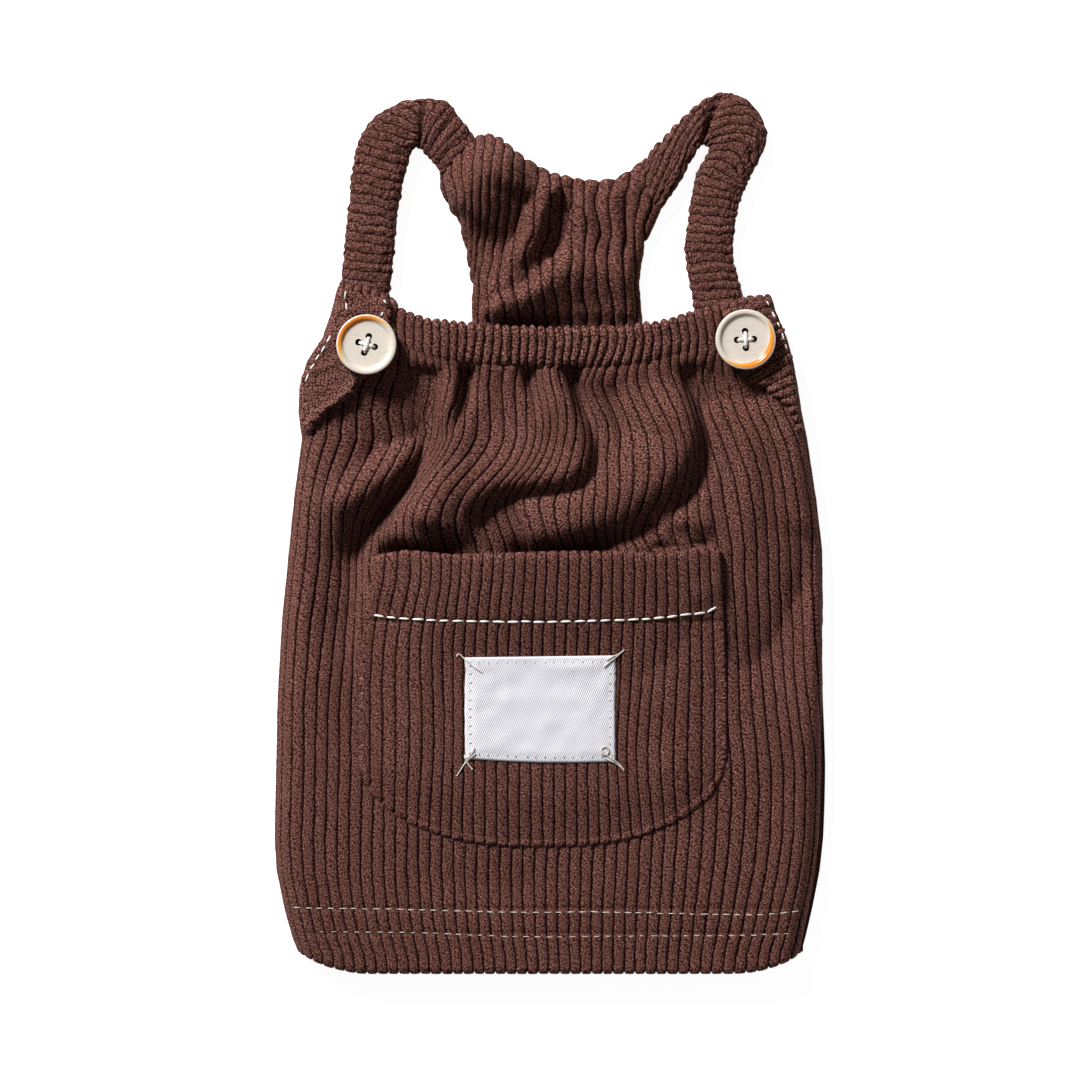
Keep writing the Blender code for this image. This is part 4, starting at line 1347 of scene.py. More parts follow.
@dataclass
class FrontPanel:
    """The front: gathered into an elastic casing at the neck, folded below it, hemmed at the bottom."""

    shop: Workshop
    wales: Wales = Wales()
    wale_count: int = 50
    rows: int = 321
    inner_row_step: int = 8
    cloth: float = 1.7
    hem_level: float = -131.9
    hem_corner_rise: float = 6.0
    middle: float = 2.0
    neck_lift: float = 3.7
    neck_lift_half_width: float = 38.0
    neck_lift_levels: tuple[float, float] = (20.0, 58.0)
    casing_depth: float = 11.2
    casing_height: float = 0.35
    casing_seam: float = 0.6
    hem_seam: float = 0.35
    gather_waves: int = 13
    gather_height: float = 0.45
    gathered_width: float = 96.0
    calm_edge: float = 1.6
    samples: int = 520
    crowding: float = 0.028
    straighten: int = 120
    jump: float = 0.7
    pressed: float = 0.75
    neck_round: float = 1.9
    hem_round: float = 1.3
    cut: tuple[float, float] = (0.176, 0.232)
    folds: FoldMap = field(init=False)

    def __post_init__(self) -> None:
        """Works out the folds."""
        self.folds = FoldMap(FRONT_CREASES, (-90.0, -140.0), (90.0, 80.0))

    def middle_share(self, x: Array) -> Array:
        """Returns 1 along the gathered middle of the neckline, falling to 0 at its corners."""
        return 1.0 / (1.0 + (np.abs(x - self.middle) / self.neck_lift_half_width) ** 8)

    def lift(self, x: Array, y: Array) -> Array:
        """Returns how far the bib under it lifts the neck."""
        return self.neck_lift * self.middle_share(x) * smoothstep(*self.neck_lift_levels, y)

    def extras(self, x: Array, y: Array) -> Array:
        """Works out what stands out of the plain section: neck, casing, gathers and creases.

        Args:
            x: Places to the right.
            y: Places up the garment.

        Returns:
            The added height of each place.
        """
        below = level_at(NECKLINE, x) - y
        middle = self.middle_share(x)
        depth = self.casing_depth
        casing = self.casing_height * middle * (1 - smoothstep(depth - 3, depth, below))
        seam = self.casing_seam * middle * bell(below, depth, 0.9)
        fade = np.exp(-np.maximum(below - depth, 0) / 10.0) * smoothstep(depth - 2, depth + 5, below)
        uneven = x + 4.0 * np.sin(x / 17.0)
        waves = np.cos(math.tau * self.gather_waves * uneven / self.gathered_width)
        gathers = self.gather_height * middle * fade * waves
        hem = sum(self.hem_seam * bell(y, seam_y, 0.7) for seam_y in HEM_SEAMS)
        return self.lift(x, y) + casing - seam + gathers - hem + self.folds.at(x, y)

    def gathered(self, x: Array, y: Array) -> Array:
        """Works out where the cloth is gathered.

        Args:
            x: Places to the right.
            y: Places up the garment.

        Returns:
            Up to 1 in the casing, falling to 0 a little below it.
        """
        below, depth = level_at(NECKLINE, x) - y, self.casing_depth
        in_casing = 1 - 0.6 * smoothstep(depth - 1, depth + 1, below)
        return (0.35 + 0.65 * self.middle_share(x)) * in_casing * (1 - smoothstep(depth, depth + 12, below))

    def seam_jumps(self, rng: np.random.Generator, x: Array, y: Array) -> Array:
        """Shifts each wale where the casing's seam catches it.

        Args:
            rng: The seeded source of random numbers.
            x: Places to the right.
            y: Places up the garment.

        Returns:
            How far each point is shifted to the right.
        """
        below = level_at(NECKLINE, x) - y
        steps = len(self.wales.steps)
        jumps = soft_noise(rng, 1, self.wale_count + 1, (0, 1))[0]
        jumps = np.interp(np.arange(x.shape[1]) / steps, np.arange(self.wale_count + 1), jumps)
        past = smoothstep(self.casing_depth - 0.9, self.casing_depth + 0.9, below)
        return self.jump * jumps * past * np.exp(-np.maximum(below - self.casing_depth, 0) / 9.0)

    def under_pocket(self, x: Array, y: Array) -> Array:
        """Works out where the pocket presses the wales flat.

        Args:
            x: Places to the right.
            y: Places up the garment.

        Returns:
            1 under the pocket, and 0 outside it.
        """
        left, right = sides_at(POCKET_SIDES, y)
        low = Pocket.bottom_line(np.clip(np.abs(2 * (x - left) / (right - left) - 1), 0, 1))
        below_mouth = POCKET_SIDES[-1].y - 3.0 - y
        inside = np.minimum(np.minimum(x - left, right - x), np.minimum(y - low, below_mouth))
        return smoothstep(0.2, 1.6, inside)

    def section(self, inside: Array, y: Array, extra: Array) -> Array:
        """Works out the height of a section with rolled sides.

        Args:
            inside: How far each place lies inside the sides.
            y: Places up the garment.
            extra: What stands out of the plain section there.

        Returns:
            The height of each place.
        """
        part = np.clip(inside / along(FRONT_SECTIONS, "roll", y), 0, 1)
        rim, crown = along(FRONT_SECTIONS, "rim", y), along(FRONT_SECTIONS, "crown", y)
        return rim + (crown - rim) * np.sqrt(1 - (1 - part) ** 2) + smoothstep(0, 1, part) * extra

    def height(self, x: Array, y: Array) -> Array:
        """Returns the height of the outer face, without its wales."""
        left, right = sides_at(FRONT_SECTIONS, y)
        return self.section(np.minimum(x - left, right - x), y, self.extras(x, y))

    def calm_height(self, x: Array, y: Array) -> Array:
        """Works out what pieces on the front lie on: it has no creases, and is kept off the edges.

        Args:
            x: Places to the right.
            y: Places up the garment.

        Returns:
            The height of each place.
        """
        left, right = sides_at(FRONT_SECTIONS, y)
        off = self.calm_edge
        left, right = left + off, right - off
        x = np.clip(x, left, right)
        return self.section(np.minimum(x - left + off, right + off - x), y, self.lift(x, y))

    def surface(self, across: Array) -> tuple[Array, Array]:
        """Lays the cloth out.

        Args:
            across: Fractions across the cut cloth, rows by columns.

        Returns:
            The outer face's points without wales, and how far the edges' rounding drops them.
        """
        low = hem_line(across[0], self.hem_level, self.hem_corner_rise)
        top = FRONT_SECTIONS[-1]
        high = level_at(NECKLINE, top.left + across[-1] * (top.right - top.left))
        y, drop = lengthwise(low, high, self.rows, self.hem_round, self.neck_round)
        left, right = sides_at(FRONT_SECTIONS, y)
        x = left + across * (right - left)
        return np.stack([x, y, self.height(x, y)], axis=-1), drop

    def by_cloth_length(self, places: Array) -> Array:
        """Turns places on the flat cloth into fractions across, row by row.

        Args:
            places: Fractions of the cloth's width.

        Returns:
            Fractions across the laid out front, rows by columns.
        """
        dense = np.linspace(0, 1, self.samples)
        dense = dense - self.crowding * np.sin(math.tau * dense) / math.tau * 6.0
        grid = np.broadcast_to(dense, (self.rows, len(dense)))
        points, _ = self.surface(grid)
        step = np.linalg.norm(np.diff(points[..., ::2], axis=1), axis=-1)
        run = np.concatenate([np.zeros((self.rows, 1)), np.cumsum(step, axis=1)], axis=1)
        across = np.stack([np.interp(places * row[-1], row, dense) for row in run])
        for _ in range(self.straighten):
            across[1:-1] = blurred(across, 0)[1:-1]
        return across

    def build(self) -> bpy.types.Object:
        """Builds the front.

        Returns:
            The finished piece.
        """
        rng = np.random.default_rng(11)
        columns = self.wales.columns(self.wale_count)
        across = self.by_cloth_length(columns / self.wale_count)
        plain, drop = self.surface(across)
        held = smoothstep(0, 4, np.minimum(columns, self.wale_count - columns))
        x, y = plain[..., 0], plain[..., 1]
        shift = drift_across(FRONT_DRIFTS, x, y) + held * self.wales.swaying(rng, self.rows, self.wale_count)
        x = x + shift + held * self.seam_jumps(rng, x, y)
        plain = np.stack([x, y, self.height(x, y) - drop], axis=-1)
        direction = normals_of(plain)
        gathered = self.gathered(plain[..., 0], plain[..., 1])
        relief = self.wales.relief(rng, self.rows, self.wale_count, gathered)
        relief = relief * (1 - self.pressed * self.under_pocket(plain[..., 0], plain[..., 1]))
        outer = plain + relief[..., None] * direction
        rim = along(FRONT_SECTIONS, "rim", plain[..., 1])
        outer[..., 2] = np.maximum(outer[..., 2], np.minimum(rim, outer[..., 2] + 0.5))
        inner = plain - self.cloth * direction
        inner[..., 2] = np.maximum(inner[..., 2], along(FRONT_SECTIONS, "rim", inner[..., 1]))
        v = (plain[..., 1] - self.hem_level) / WALE_PITCH
        uv = np.stack([np.broadcast_to(columns, v.shape), v], axis=-1)
        piece = grid_shell("front_panel", outer, inner, uv, (self.inner_row_step, len(self.wales.steps)))
        set_nap(piece, gathered)
        hand_over(piece, self.shop.corduroy, "corduroy", "front")
        return piece


@dataclass
class BackPanel:
    """The back: flat where it rests, running up into the bib, its wales on the underside."""

    shop: Workshop
    wales: Wales = Wales(
        height=0.6, tuft=0.06, sway=0.12, steps=(0.0, 0.12, 0.5, 0.88), rise=(0.0, 0.7, 1.0, 0.7)
    )
    wale_count: int = 48
    bib_first: int = 16
    bib_last: int = 32
    rows: int = 181
    bib_rows: int = 81
    thickness: float = 1.8
    bib_level: float = 54.6
    side_inset: float = 0.3
    hem_level: float = -131.4
    hem_corner_rise: float = 5.0
    seam_depth: float = 0.25
    cut: tuple[float, float] = (0.170, 0.268)
    cut_area: float = 0.0336

    def in_bib(self, columns: Array) -> Array:
        """Returns which of the columns run on into the bib."""
        return (columns >= self.bib_first) & (columns <= self.bib_last)

    def lower(self, columns: Array) -> Array:
        """Lays out the panel below the bib.

        Args:
            columns: The columns' places across the cloth, in wales.

        Returns:
            The places, rows by columns by two.
        """
        share = columns / self.wale_count
        low = hem_line(share, self.hem_level, self.hem_corner_rise)
        first, last = BACK_ARMHOLE[0].x, BACK_ARMHOLE[-1].x
        high = level_at(BACK_ARMHOLE, first + share * (last - first))
        high = np.where(self.in_bib(columns), self.bib_level, high)
        t = np.linspace(0, 1, self.rows)[:, None]
        y = low + t * (high - low)
        left, right = sides_at(FRONT_SECTIONS, np.minimum(y, BACK_ARMHOLE[0].y))
        left, right = left + self.side_inset, right - self.side_inset
        return np.stack([left + share * (right - left), y], axis=-1)

    def bib(self, columns: Array, start: Array) -> Array:
        """Lays out the bib above its lowest row.

        Args:
            columns: The columns that run on into it.
            start: Their places where the bib starts.

        Returns:
            The places, rows by columns by two.
        """
        share = (columns - self.bib_first) / (self.bib_last - self.bib_first)
        top = BIB_SIDES[-1]
        high = level_at(BIB_TOP, top.left + share * (top.right - top.left))
        t = np.linspace(0, 1, self.bib_rows)[1:, None]
        y = self.bib_level + t * (high - self.bib_level)
        left, right = sides_at(BIB_SIDES, y)
        x = left + share * (right - left)
        settle = (1 - smoothstep(0, 0.15, t)) * (start[:, 0] - x[0])
        return np.stack([x + settle, y], axis=-1)

    def build(self) -> bpy.types.Object:
        """Builds the back.

        Returns:
            The finished piece.
        """
        rng = np.random.default_rng(23)
        columns = self.wales.columns(self.wale_count)
        lower = self.lower(columns)
        in_bib = self.in_bib(columns)
        bib = self.bib(columns[in_bib], lower[-1][in_bib])
        relief = self.wales.relief(rng, self.rows + self.bib_rows - 1, self.wale_count)
        flat = np.concatenate([lower.reshape(-1, 2), bib.reshape(-1, 2)])
        depth = np.concatenate([relief[: self.rows].ravel(), relief[self.rows :][:, in_bib].ravel()])
        depth = depth - self.seam_depth * sum(bell(flat[:, 1], level, 0.7) for level in HEM_SEAMS)
        level = np.clip(self.wales.height - depth, 0.0, None)
        numbers = np.arange(lower.shape[0] * lower.shape[1]).reshape(lower.shape[:2])
        bib_numbers = numbers.size + np.arange(bib.shape[0] * bib.shape[1]).reshape(bib.shape[:2])
        bib_numbers = np.concatenate([numbers[-1:, in_bib], bib_numbers])
        upper_faces = grid_faces(numbers) + grid_faces(bib_numbers)
        edges: dict[tuple[int, int], int] = {}
        for face in upper_faces:
            for first, second in zip(face, face[1:] + face[:1]):
                edges[(first, second)] = edges.get((first, second), 0) + 1
        rim = [(a, b) for a, b in edges if (b, a) not in edges]
        count = len(flat)
        faces = [face[::-1] for face in upper_faces]
        faces += [tuple(number + count for number in face) for face in upper_faces]
        faces += [(a, b, b + count, a + count) for a, b in rim]
        points = np.concatenate([
            np.column_stack([flat, level]),
            np.column_stack([flat, np.full(count, self.thickness)]),
        ])
        u = np.concatenate([np.tile(columns, self.rows), np.tile(columns[in_bib], self.bib_rows - 1)])
        uv = np.column_stack([u, (flat[:, 1] + 132.0) / WALE_PITCH])
        piece = make_mesh_object("back_panel", points, faces, np.concatenate([uv, uv]))
        set_nap(piece)
        hand_over(piece, self.shop.corduroy, "corduroy", "back")
        return piece


@dataclass
class BibFacing:
    """The inside of the bib, which shows above the neckline. Its sides are cut across its wales."""

    shop: Workshop
    columns: int = 169
    rows: int = 145
    inner_step: int = 8
    wale_height: float = 0.95
    under: float = 2.1
    cloth: float = 1.3
    flat_edge: float = 4.0
    fold_start: tuple[float, float] = (61.0, 67.0)
    edge_round: float = 1.2
    cut: tuple[float, float] = (0.066, 0.066)
    cut_area: float = 0.0036

    def surface(self, across: Array) -> tuple[Array, Array]:
        """Lays the facing out.

        Args:
            across: Fractions across the facing, one for each column.

        Returns:
            The points of the upper face without wales, and the level of the lower face.
        """
        top = BIB_SIDES[-1]
        high = level_at(BIB_TOP, top.left + across * (top.right - top.left))
        low = np.full_like(high, BIB_SIDES[0].y)
        y, drop = lengthwise(low, high, self.rows, 0.3, self.edge_round)
        left, right = sides_at(BIB_SIDES, y)
        x = left + across * (right - left)
        inside = np.minimum(x - left, right - x)
        calm = smoothstep(0, self.flat_edge, inside) * smoothstep(*self.fold_start, y)
        calm = calm * (0.3 + 0.7 * smoothstep(0.0, 5.0, high[None] - y))
        folds = calm * (1.4 + crease_height(BIB_CREASES, x, y))
        folds = np.maximum(folds, 0.0)
        z = self.under + self.cloth + folds - drop - edge_drop(inside, self.edge_round)
        return np.stack([x, y, z], axis=-1), self.under + folds / 2

    def wale_at(self, x: Array, y: Array) -> Array:
        """Finds the place across the wales, which follow the guide lines of the grooves.

        Args:
            x: Places to the right.
            y: Places up the garment.

        Returns:
            That place, in wales.
        """
        levels = np.array([level for level, _ in BIB_GROOVES])
        lines = np.array([(line[0] - 15.0, *line, line[-1] + 15.0) for _, line in BIB_GROOVES])
        numbers = np.array([-5.0, *range(lines.shape[1] - 2), lines.shape[1] + 2.0])
        at_level = np.stack([np.interp(x, line, numbers) for line in lines])
        at = np.clip(np.interp(y, levels, np.arange(len(levels))), 0, len(levels) - 1.001)
        low = at.astype(int)
        share = smoothstep(0, 1, at - low)
        rows, columns = np.indices(x.shape)
        return at_level[low, rows, columns] * (1 - share) + at_level[low + 1, rows, columns] * share

    def build(self) -> bpy.types.Object:
        """Builds the facing.

        Returns:
            The finished piece.
        """
        rng = np.random.default_rng(31)
        plain, under = self.surface(np.linspace(0, 1, self.columns))
        sway = 0.03 * soft_noise(rng, self.rows, self.columns, (30, 30))
        place = self.wale_at(plain[..., 0], plain[..., 1]) + sway
        part = np.abs(2 * (place % 1.0) - 1)
        wale = 1 - part**3.4
        lumps = soft_noise(rng, self.rows, self.columns, (2, 2))
        relief = self.wale_height * wale + 0.05 * lumps * (0.4 + 0.6 * wale)
        outer = plain + relief[..., None] * normals_of(plain)
        outer[..., 2] = np.maximum(outer[..., 2], self.under + 0.05)
        inner = np.concatenate([plain[..., :2], under[..., None]], axis=-1)
        uv = np.stack([place, plain[..., 1] / WALE_PITCH], axis=-1)
        piece = grid_shell("bib_facing", outer, inner, uv, (self.inner_step, self.inner_step))
        set_nap(piece, 0.4)
        hand_over(piece, self.shop.corduroy, "corduroy", "back_facing")
        return piece


@dataclass
class Pocket:
    """The patch pocket with a round bottom, standing open at its mouth."""

    shop: Workshop
    front: FrontPanel
    wales: Wales = Wales(height=0.74)
    wale_count: int = 32
    rows: int = 161
    inner_row_step: int = 8
    cloth: float = 1.3
    clear: float = 1.3
    edge_clear: float = 0.25
    edge_cloth: float = 0.50
    bottom: float = -94.2
    round_depth: float = 31.0
    round_power: float = 2.4
    middle: float = -1.8
    lift: float = 6.0
    lift_from: float = -46.0
    lift_to: float = -7.0
    edge_round: float = 0.9
    mouth_round: float = 1.6
    settled: float = 17.0
    seam_inset: float = 2.2
    seam_depth: float = 0.16
    mouth_seam: float = -26.4
    mouth_seam_depth: float = 0.4
    turned_cloth: float = 0.35
    bead_height: float = 0.45
    bead_pitch: float = 1.7
    cut: tuple[float, float] = (0.112, 0.118)
    cut_area: float = 0.0118

    @classmethod
    def bottom_line(cls, side: Array) -> Array:
        """Returns the level of the round bottom, where side is 0 in its middle and 1 at its ends."""
        return cls.bottom + cls.round_depth * (1 - (1 - side**cls.round_power) ** (1 / cls.round_power))

    def height(self, x: Array, y: Array) -> Array:
        """Works out the height of the inner face, which stands off the front at the mouth.

        Args:
            x: Places to the right.
            y: Places up the garment.

        Returns:
            The height of each place.
        """
        half = 0.5 * (POCKET_SIDES[-1].right - POCKET_SIDES[-1].left)
        bow = np.maximum(1 - ((x - self.middle) / half) ** 2, 0)
        open_by = self.lift * bow * smoothstep(self.lift_from, self.lift_to, y)
        return self.front.calm_height(x, y) + self.clear + open_by

    def surface(self, across: Array) -> tuple[Array, Array]:
        """Lays the pocket out.

        Args:
            across: Fractions across the pocket, one for each column.

        Returns:
            The inner face's points, and how thick the cloth is there before its wales.
        """
        low = self.bottom_line(np.abs(2 * across - 1))
        mouth_x = POCKET_MOUTH[0].x + across * (POCKET_MOUTH[-1].x - POCKET_MOUTH[0].x)
        high = level_at(POCKET_MOUTH, mouth_x)
        y, drop = lengthwise(low, high, self.rows, self.edge_round, self.mouth_round)
        left, right = sides_at(POCKET_SIDES, y)
        x = left + across * (right - left)
        slope = np.gradient(low, x[0])
        from_bottom = (y - low) / np.sqrt(1 + slope**2)
        inside = np.minimum(np.minimum(x - left, right - x), from_bottom)
        free = self.settled * smoothstep(self.mouth_seam, self.mouth_seam + 16.0, y)
        settled = 1 - smoothstep(0.5, self.settled, inside + free)
        seam = self.seam_depth * bell(inside, self.seam_inset, 0.5)
        mouth = self.mouth_seam_depth * bell(y, self.mouth_seam, 0.7)
        turned = self.turned_cloth * smoothstep(self.mouth_seam - 0.8, self.mouth_seam + 0.8, y)
        fold = np.where(y > high - self.mouth_round, drop, 0.0)
        cloth = self.cloth + (self.edge_cloth - self.cloth) * settled
        beads = 0.6 + 0.4 * np.sin(math.tau * (x + 0.8 * y) / self.bead_pitch)
        turned_edge = self.bead_height * beads * bell(inside, self.edge_round, 0.5) * (y < self.mouth_seam)
        thick = cloth + turned + turned_edge - seam - mouth - fold - edge_drop(inside, self.edge_round)
        z = self.height(x, y) + crease_height(POCKET_CREASES, x, y) * smoothstep(1, 9, inside)
        z = z - (self.clear - self.edge_clear) * settled
        return np.stack([x, y, z], axis=-1), thick

    def build(self) -> bpy.types.Object:
        """Builds the pocket.

        Returns:
            The finished piece.
        """
        rng = np.random.default_rng(41)
        columns = self.wales.columns(self.wale_count)
        inner, thick = self.surface(columns / self.wale_count)
        sway = self.wales.swaying(rng, self.rows, self.wale_count)
        shift = sway + drift_across(POCKET_DRIFTS, inner[..., 0], inner[..., 1])
        inner[..., 0] += shift * smoothstep(0, 3, np.minimum(columns, self.wale_count - columns))
        plain = inner.copy()
        plain[..., 2] += thick
        direction = normals_of(plain)
        outer = plain + self.wales.relief(rng, self.rows, self.wale_count)[..., None] * direction
        outer[..., 2] = np.maximum(outer[..., 2], inner[..., 2] + 0.1)
        v = inner[..., 1] / WALE_PITCH
        uv = np.stack([np.broadcast_to(columns, v.shape), v], axis=-1)
        piece = grid_shell("pocket_patch", outer, inner, uv, (self.inner_row_step, len(self.wales.steps)))
        set_nap(piece)
        hand_over(piece, self.shop.corduroy, "corduroy", "pocket")
        return piece


@dataclass
class Strap:
    """A sleeve of corduroy gathered on wide elastic, with its wales across it.

    As far along as the share turned[0] its wales lie as the bends say: each has a level, the place where
    the slope is read, the angle by which the wales fall to the right there, and how much they arch.
    Beyond that they run across the sleeve, turned by the angle turned[1].
    """

    shop: Workshop
    name: str
    node: str
    table: tuple[Cross, ...]
    seed: int
    bends: tuple[Bend, ...] = ()
    turned: tuple[float, float] = (1.0, 0.0)
    knobs: float = 0.0
    pinches: tuple[tuple[float, float, float], ...] = ()
    first: float = 0.0
    last: float = 1.0
    pitch: float = 2.8
    rings_to_a_wale: int = 6
    sides: int = 144
    inner_sides: int = 12
    squareness: float = 2.6
    middle: float = 3.3
    ridge: float = 0.40
    crest: float = 0.22
    uneven: float = 0.10
    wander: float = 0.09
    lowest: float = 0.05
    wall: float = 1.0
    cut: tuple[float, float] = (0.034, 0.100)

    def build(self) -> bpy.types.Object:
        """Builds the sleeve.

        Returns:
            The finished piece.
        """
        rng = np.random.default_rng(self.seed)
        rows = smooth_rows(self.table, 400, middle_of)
        run = run_length(middle_of(rows))
        start, end = self.first * run[-1], self.last * run[-1]
        count = int(round((end - start) / self.pitch)) * self.rings_to_a_wale
        places = np.linspace(start, end, count + 1)
        rows = np.stack([np.interp(places, run, rows[:, k]) for k in range(5)], axis=1)
        turn = np.arange(self.sides) * math.tau / self.sides
        power = 2 / self.squareness
        out = np.sign(np.cos(turn)) * np.abs(np.cos(turn)) ** power
        up = np.sign(np.sin(turn)) * np.abs(np.sin(turn)) ** power
        half = (rows[:, 0:2] - rows[:, 2:4]) / 2
        width = np.linalg.norm(half, axis=1)
        share = places / run[-1]
        side = out[None, :] * width[:, None]
        lean = math.radians(self.turned[1])
        phase = (places[:, None] * math.cos(lean) + side * math.sin(lean)) / self.pitch
        if self.bends:
            centre = middle_of(rows)
            x = centre[:, 0:1] + out[None, :] * (rows[:, 0:1] - centre[:, 0:1])
            y = centre[:, 1:2] + out[None, :] * (rows[:, 1:2] - centre[:, 1:2])
            aside = x - along(self.bends, "x", y)
            slope = np.tan(np.radians(along(self.bends, "angle", y)))
            level_phase = (y + aside * slope + along(self.bends, "arch", y) * aside**2) / self.pitch
            phase = np.where(share[:, None] < self.turned[0], level_phase, phase)
        phase = phase + self.wander * soft_noise(rng, len(places), self.sides, (30, 14))
        wave = np.abs(np.sin(math.pi * phase)) ** 0.45
        crest = bell((phase / 2.0) % 1.0, 0.20, 0.09)
        gather = soft_noise(rng, len(places), self.sides, (8, 20))
        lumps = soft_noise(rng, len(places), self.sides, (1, 1))
        relief = self.ridge * (wave - 0.55) + self.crest * crest + self.uneven * gather + self.uneven * lumps
        beads = np.abs(np.sin(math.pi * (places[:, None] - 0.5 * side) / 3.3)) ** 0.7 - 0.5
        relief += self.knobs * beads * (0.55 + 0.45 * smoothstep(0.6, 0.95, out)[None, :])
        squeeze = np.ones(len(places))
        for at, reach, depth in self.pinches:
            squeeze -= depth * bell(share, at, reach)
        thick = rows[:, 4] * squeeze
        grow = relief / np.maximum(width, 1.0)[:, None]
        middle = middle_of(rows)
        flat = middle[:, None] + (out[None, :, None] * (1 + grow[..., None])) * half[:, None]
        z = self.middle + up[None, :] * (thick[:, None] / 2 + relief)
        z = np.maximum(z, self.lowest)
        outer = np.concatenate([flat, z[..., None]], axis=-1)
        small = 1 - self.wall / width
        inner_flat = middle[:, None] + out[None, :, None] * small[:, None, None] * half[:, None]
        inner_z = self.middle + up[None, :] * (thick[:, None] / 2 - self.wall)
        inner = np.concatenate([inner_flat, inner_z[..., None]], axis=-1)
        across = (side * math.cos(lean) - places[:, None] * math.sin(lean)) / WALE_PITCH
        uv = np.stack([phase, across + np.where(up < 0, 20.0, 0.0)[None, :]], axis=-1)
        steps = (self.rings_to_a_wale, self.sides // self.inner_sides)
        piece = grid_shell(self.name, outer, inner, uv, steps, closed=True)
        set_nap(piece, 0.7)
        hand_over(piece, self.shop.corduroy, "corduroy", self.node)
        return piece


@dataclass
class ArmholeFacing:
    """A strip that binds an armhole, its wales running out to the edge and scalloping it."""

    shop: Workshop
    front: FrontPanel
    name: str
    node: str
    table: tuple[Across, ...]
    seed: int
    ridge: float
    bead: float
    cut: tuple[float, float]
    cut_area: float
    grooved: float = 1.0
    pitch: float = 2.8
    steps_to_a_wale: int = 6
    across_steps: int = 24
    clear: float = 1.05
    cloth: float = 1.3
    scallop: float = 0.55
    inner_scallop: float = 0.7
    uneven: float = 0.3
    bead_inset: float = 1.6
    edge_round: float = 1.3

    def build(self) -> bpy.types.Object:
        """Builds the facing.

        Returns:
            The finished piece.
        """
        rng = np.random.default_rng(self.seed)
        length = run_length(middle_of(smooth_rows(self.table, 200, middle_of)))[-1]
        count = int(round(length / self.pitch))
        rows = smooth_rows(self.table, count * self.steps_to_a_wale + 1, middle_of)
        place = np.arange(len(rows)) / self.steps_to_a_wale
        wave = np.abs(np.sin(math.pi * place)) ** 0.55
        outward = rows[:, 0:2] - rows[:, 2:4]
        reach = np.linalg.norm(outward, axis=1)
        outward = outward / reach[:, None]
        uneven = self.uneven * soft_noise(rng, 1, len(rows), (0, 6))[0]
        rows[:, 0:2] += (self.scallop * (wave - 0.6) + uneven)[:, None] * outward
        rows[:, 2:4] -= (self.inner_scallop * (wave - 0.5) + 1.2 * uneven)[:, None] * outward
        share = (1 - np.cos(np.linspace(0, math.pi, self.across_steps + 1))) / 2
        flat = rows[:, None, 0:2] + share[None, :, None] * (rows[:, 2:4] - rows[:, 0:2])[:, None]
        x, y = flat[..., 0], flat[..., 1]
        under = self.front.calm_height(x, y) + self.clear
        away = share[None, :] * reach[:, None]
        inside = np.minimum(away, reach[:, None] - away)
        lumps = soft_noise(rng, *x.shape, (2, 2))
        slow = soft_noise(rng, *x.shape, (9, 4))
        relief = self.ridge * (wave[:, None] - 0.4) + 0.12 * lumps + 0.14 * slow
        inner_edge = np.exp(-(((reach[:, None] - away) - self.bead_inset) ** 2) / 1.8)
        relief = relief + self.bead * inner_edge * (0.5 + 0.8 * wave[:, None])
        drop = edge_drop(inside, self.edge_round)
        top = under + self.cloth + relief * smoothstep(0, 1.2, inside) - drop
        top = np.maximum(top, under + 0.05)
        outer = np.stack([x, y, top], axis=-1)
        inner = np.stack([x, y, under], axis=-1)
        uv = np.stack([np.broadcast_to(place[:, None], x.shape), away / WALE_PITCH], axis=-1)
        piece = grid_shell(self.name, outer, inner, uv, (self.steps_to_a_wale, 6))
        set_nap(piece, 1.0, self.grooved)
        hand_over(piece, self.shop.corduroy, "corduroy", self.node)
        return piece


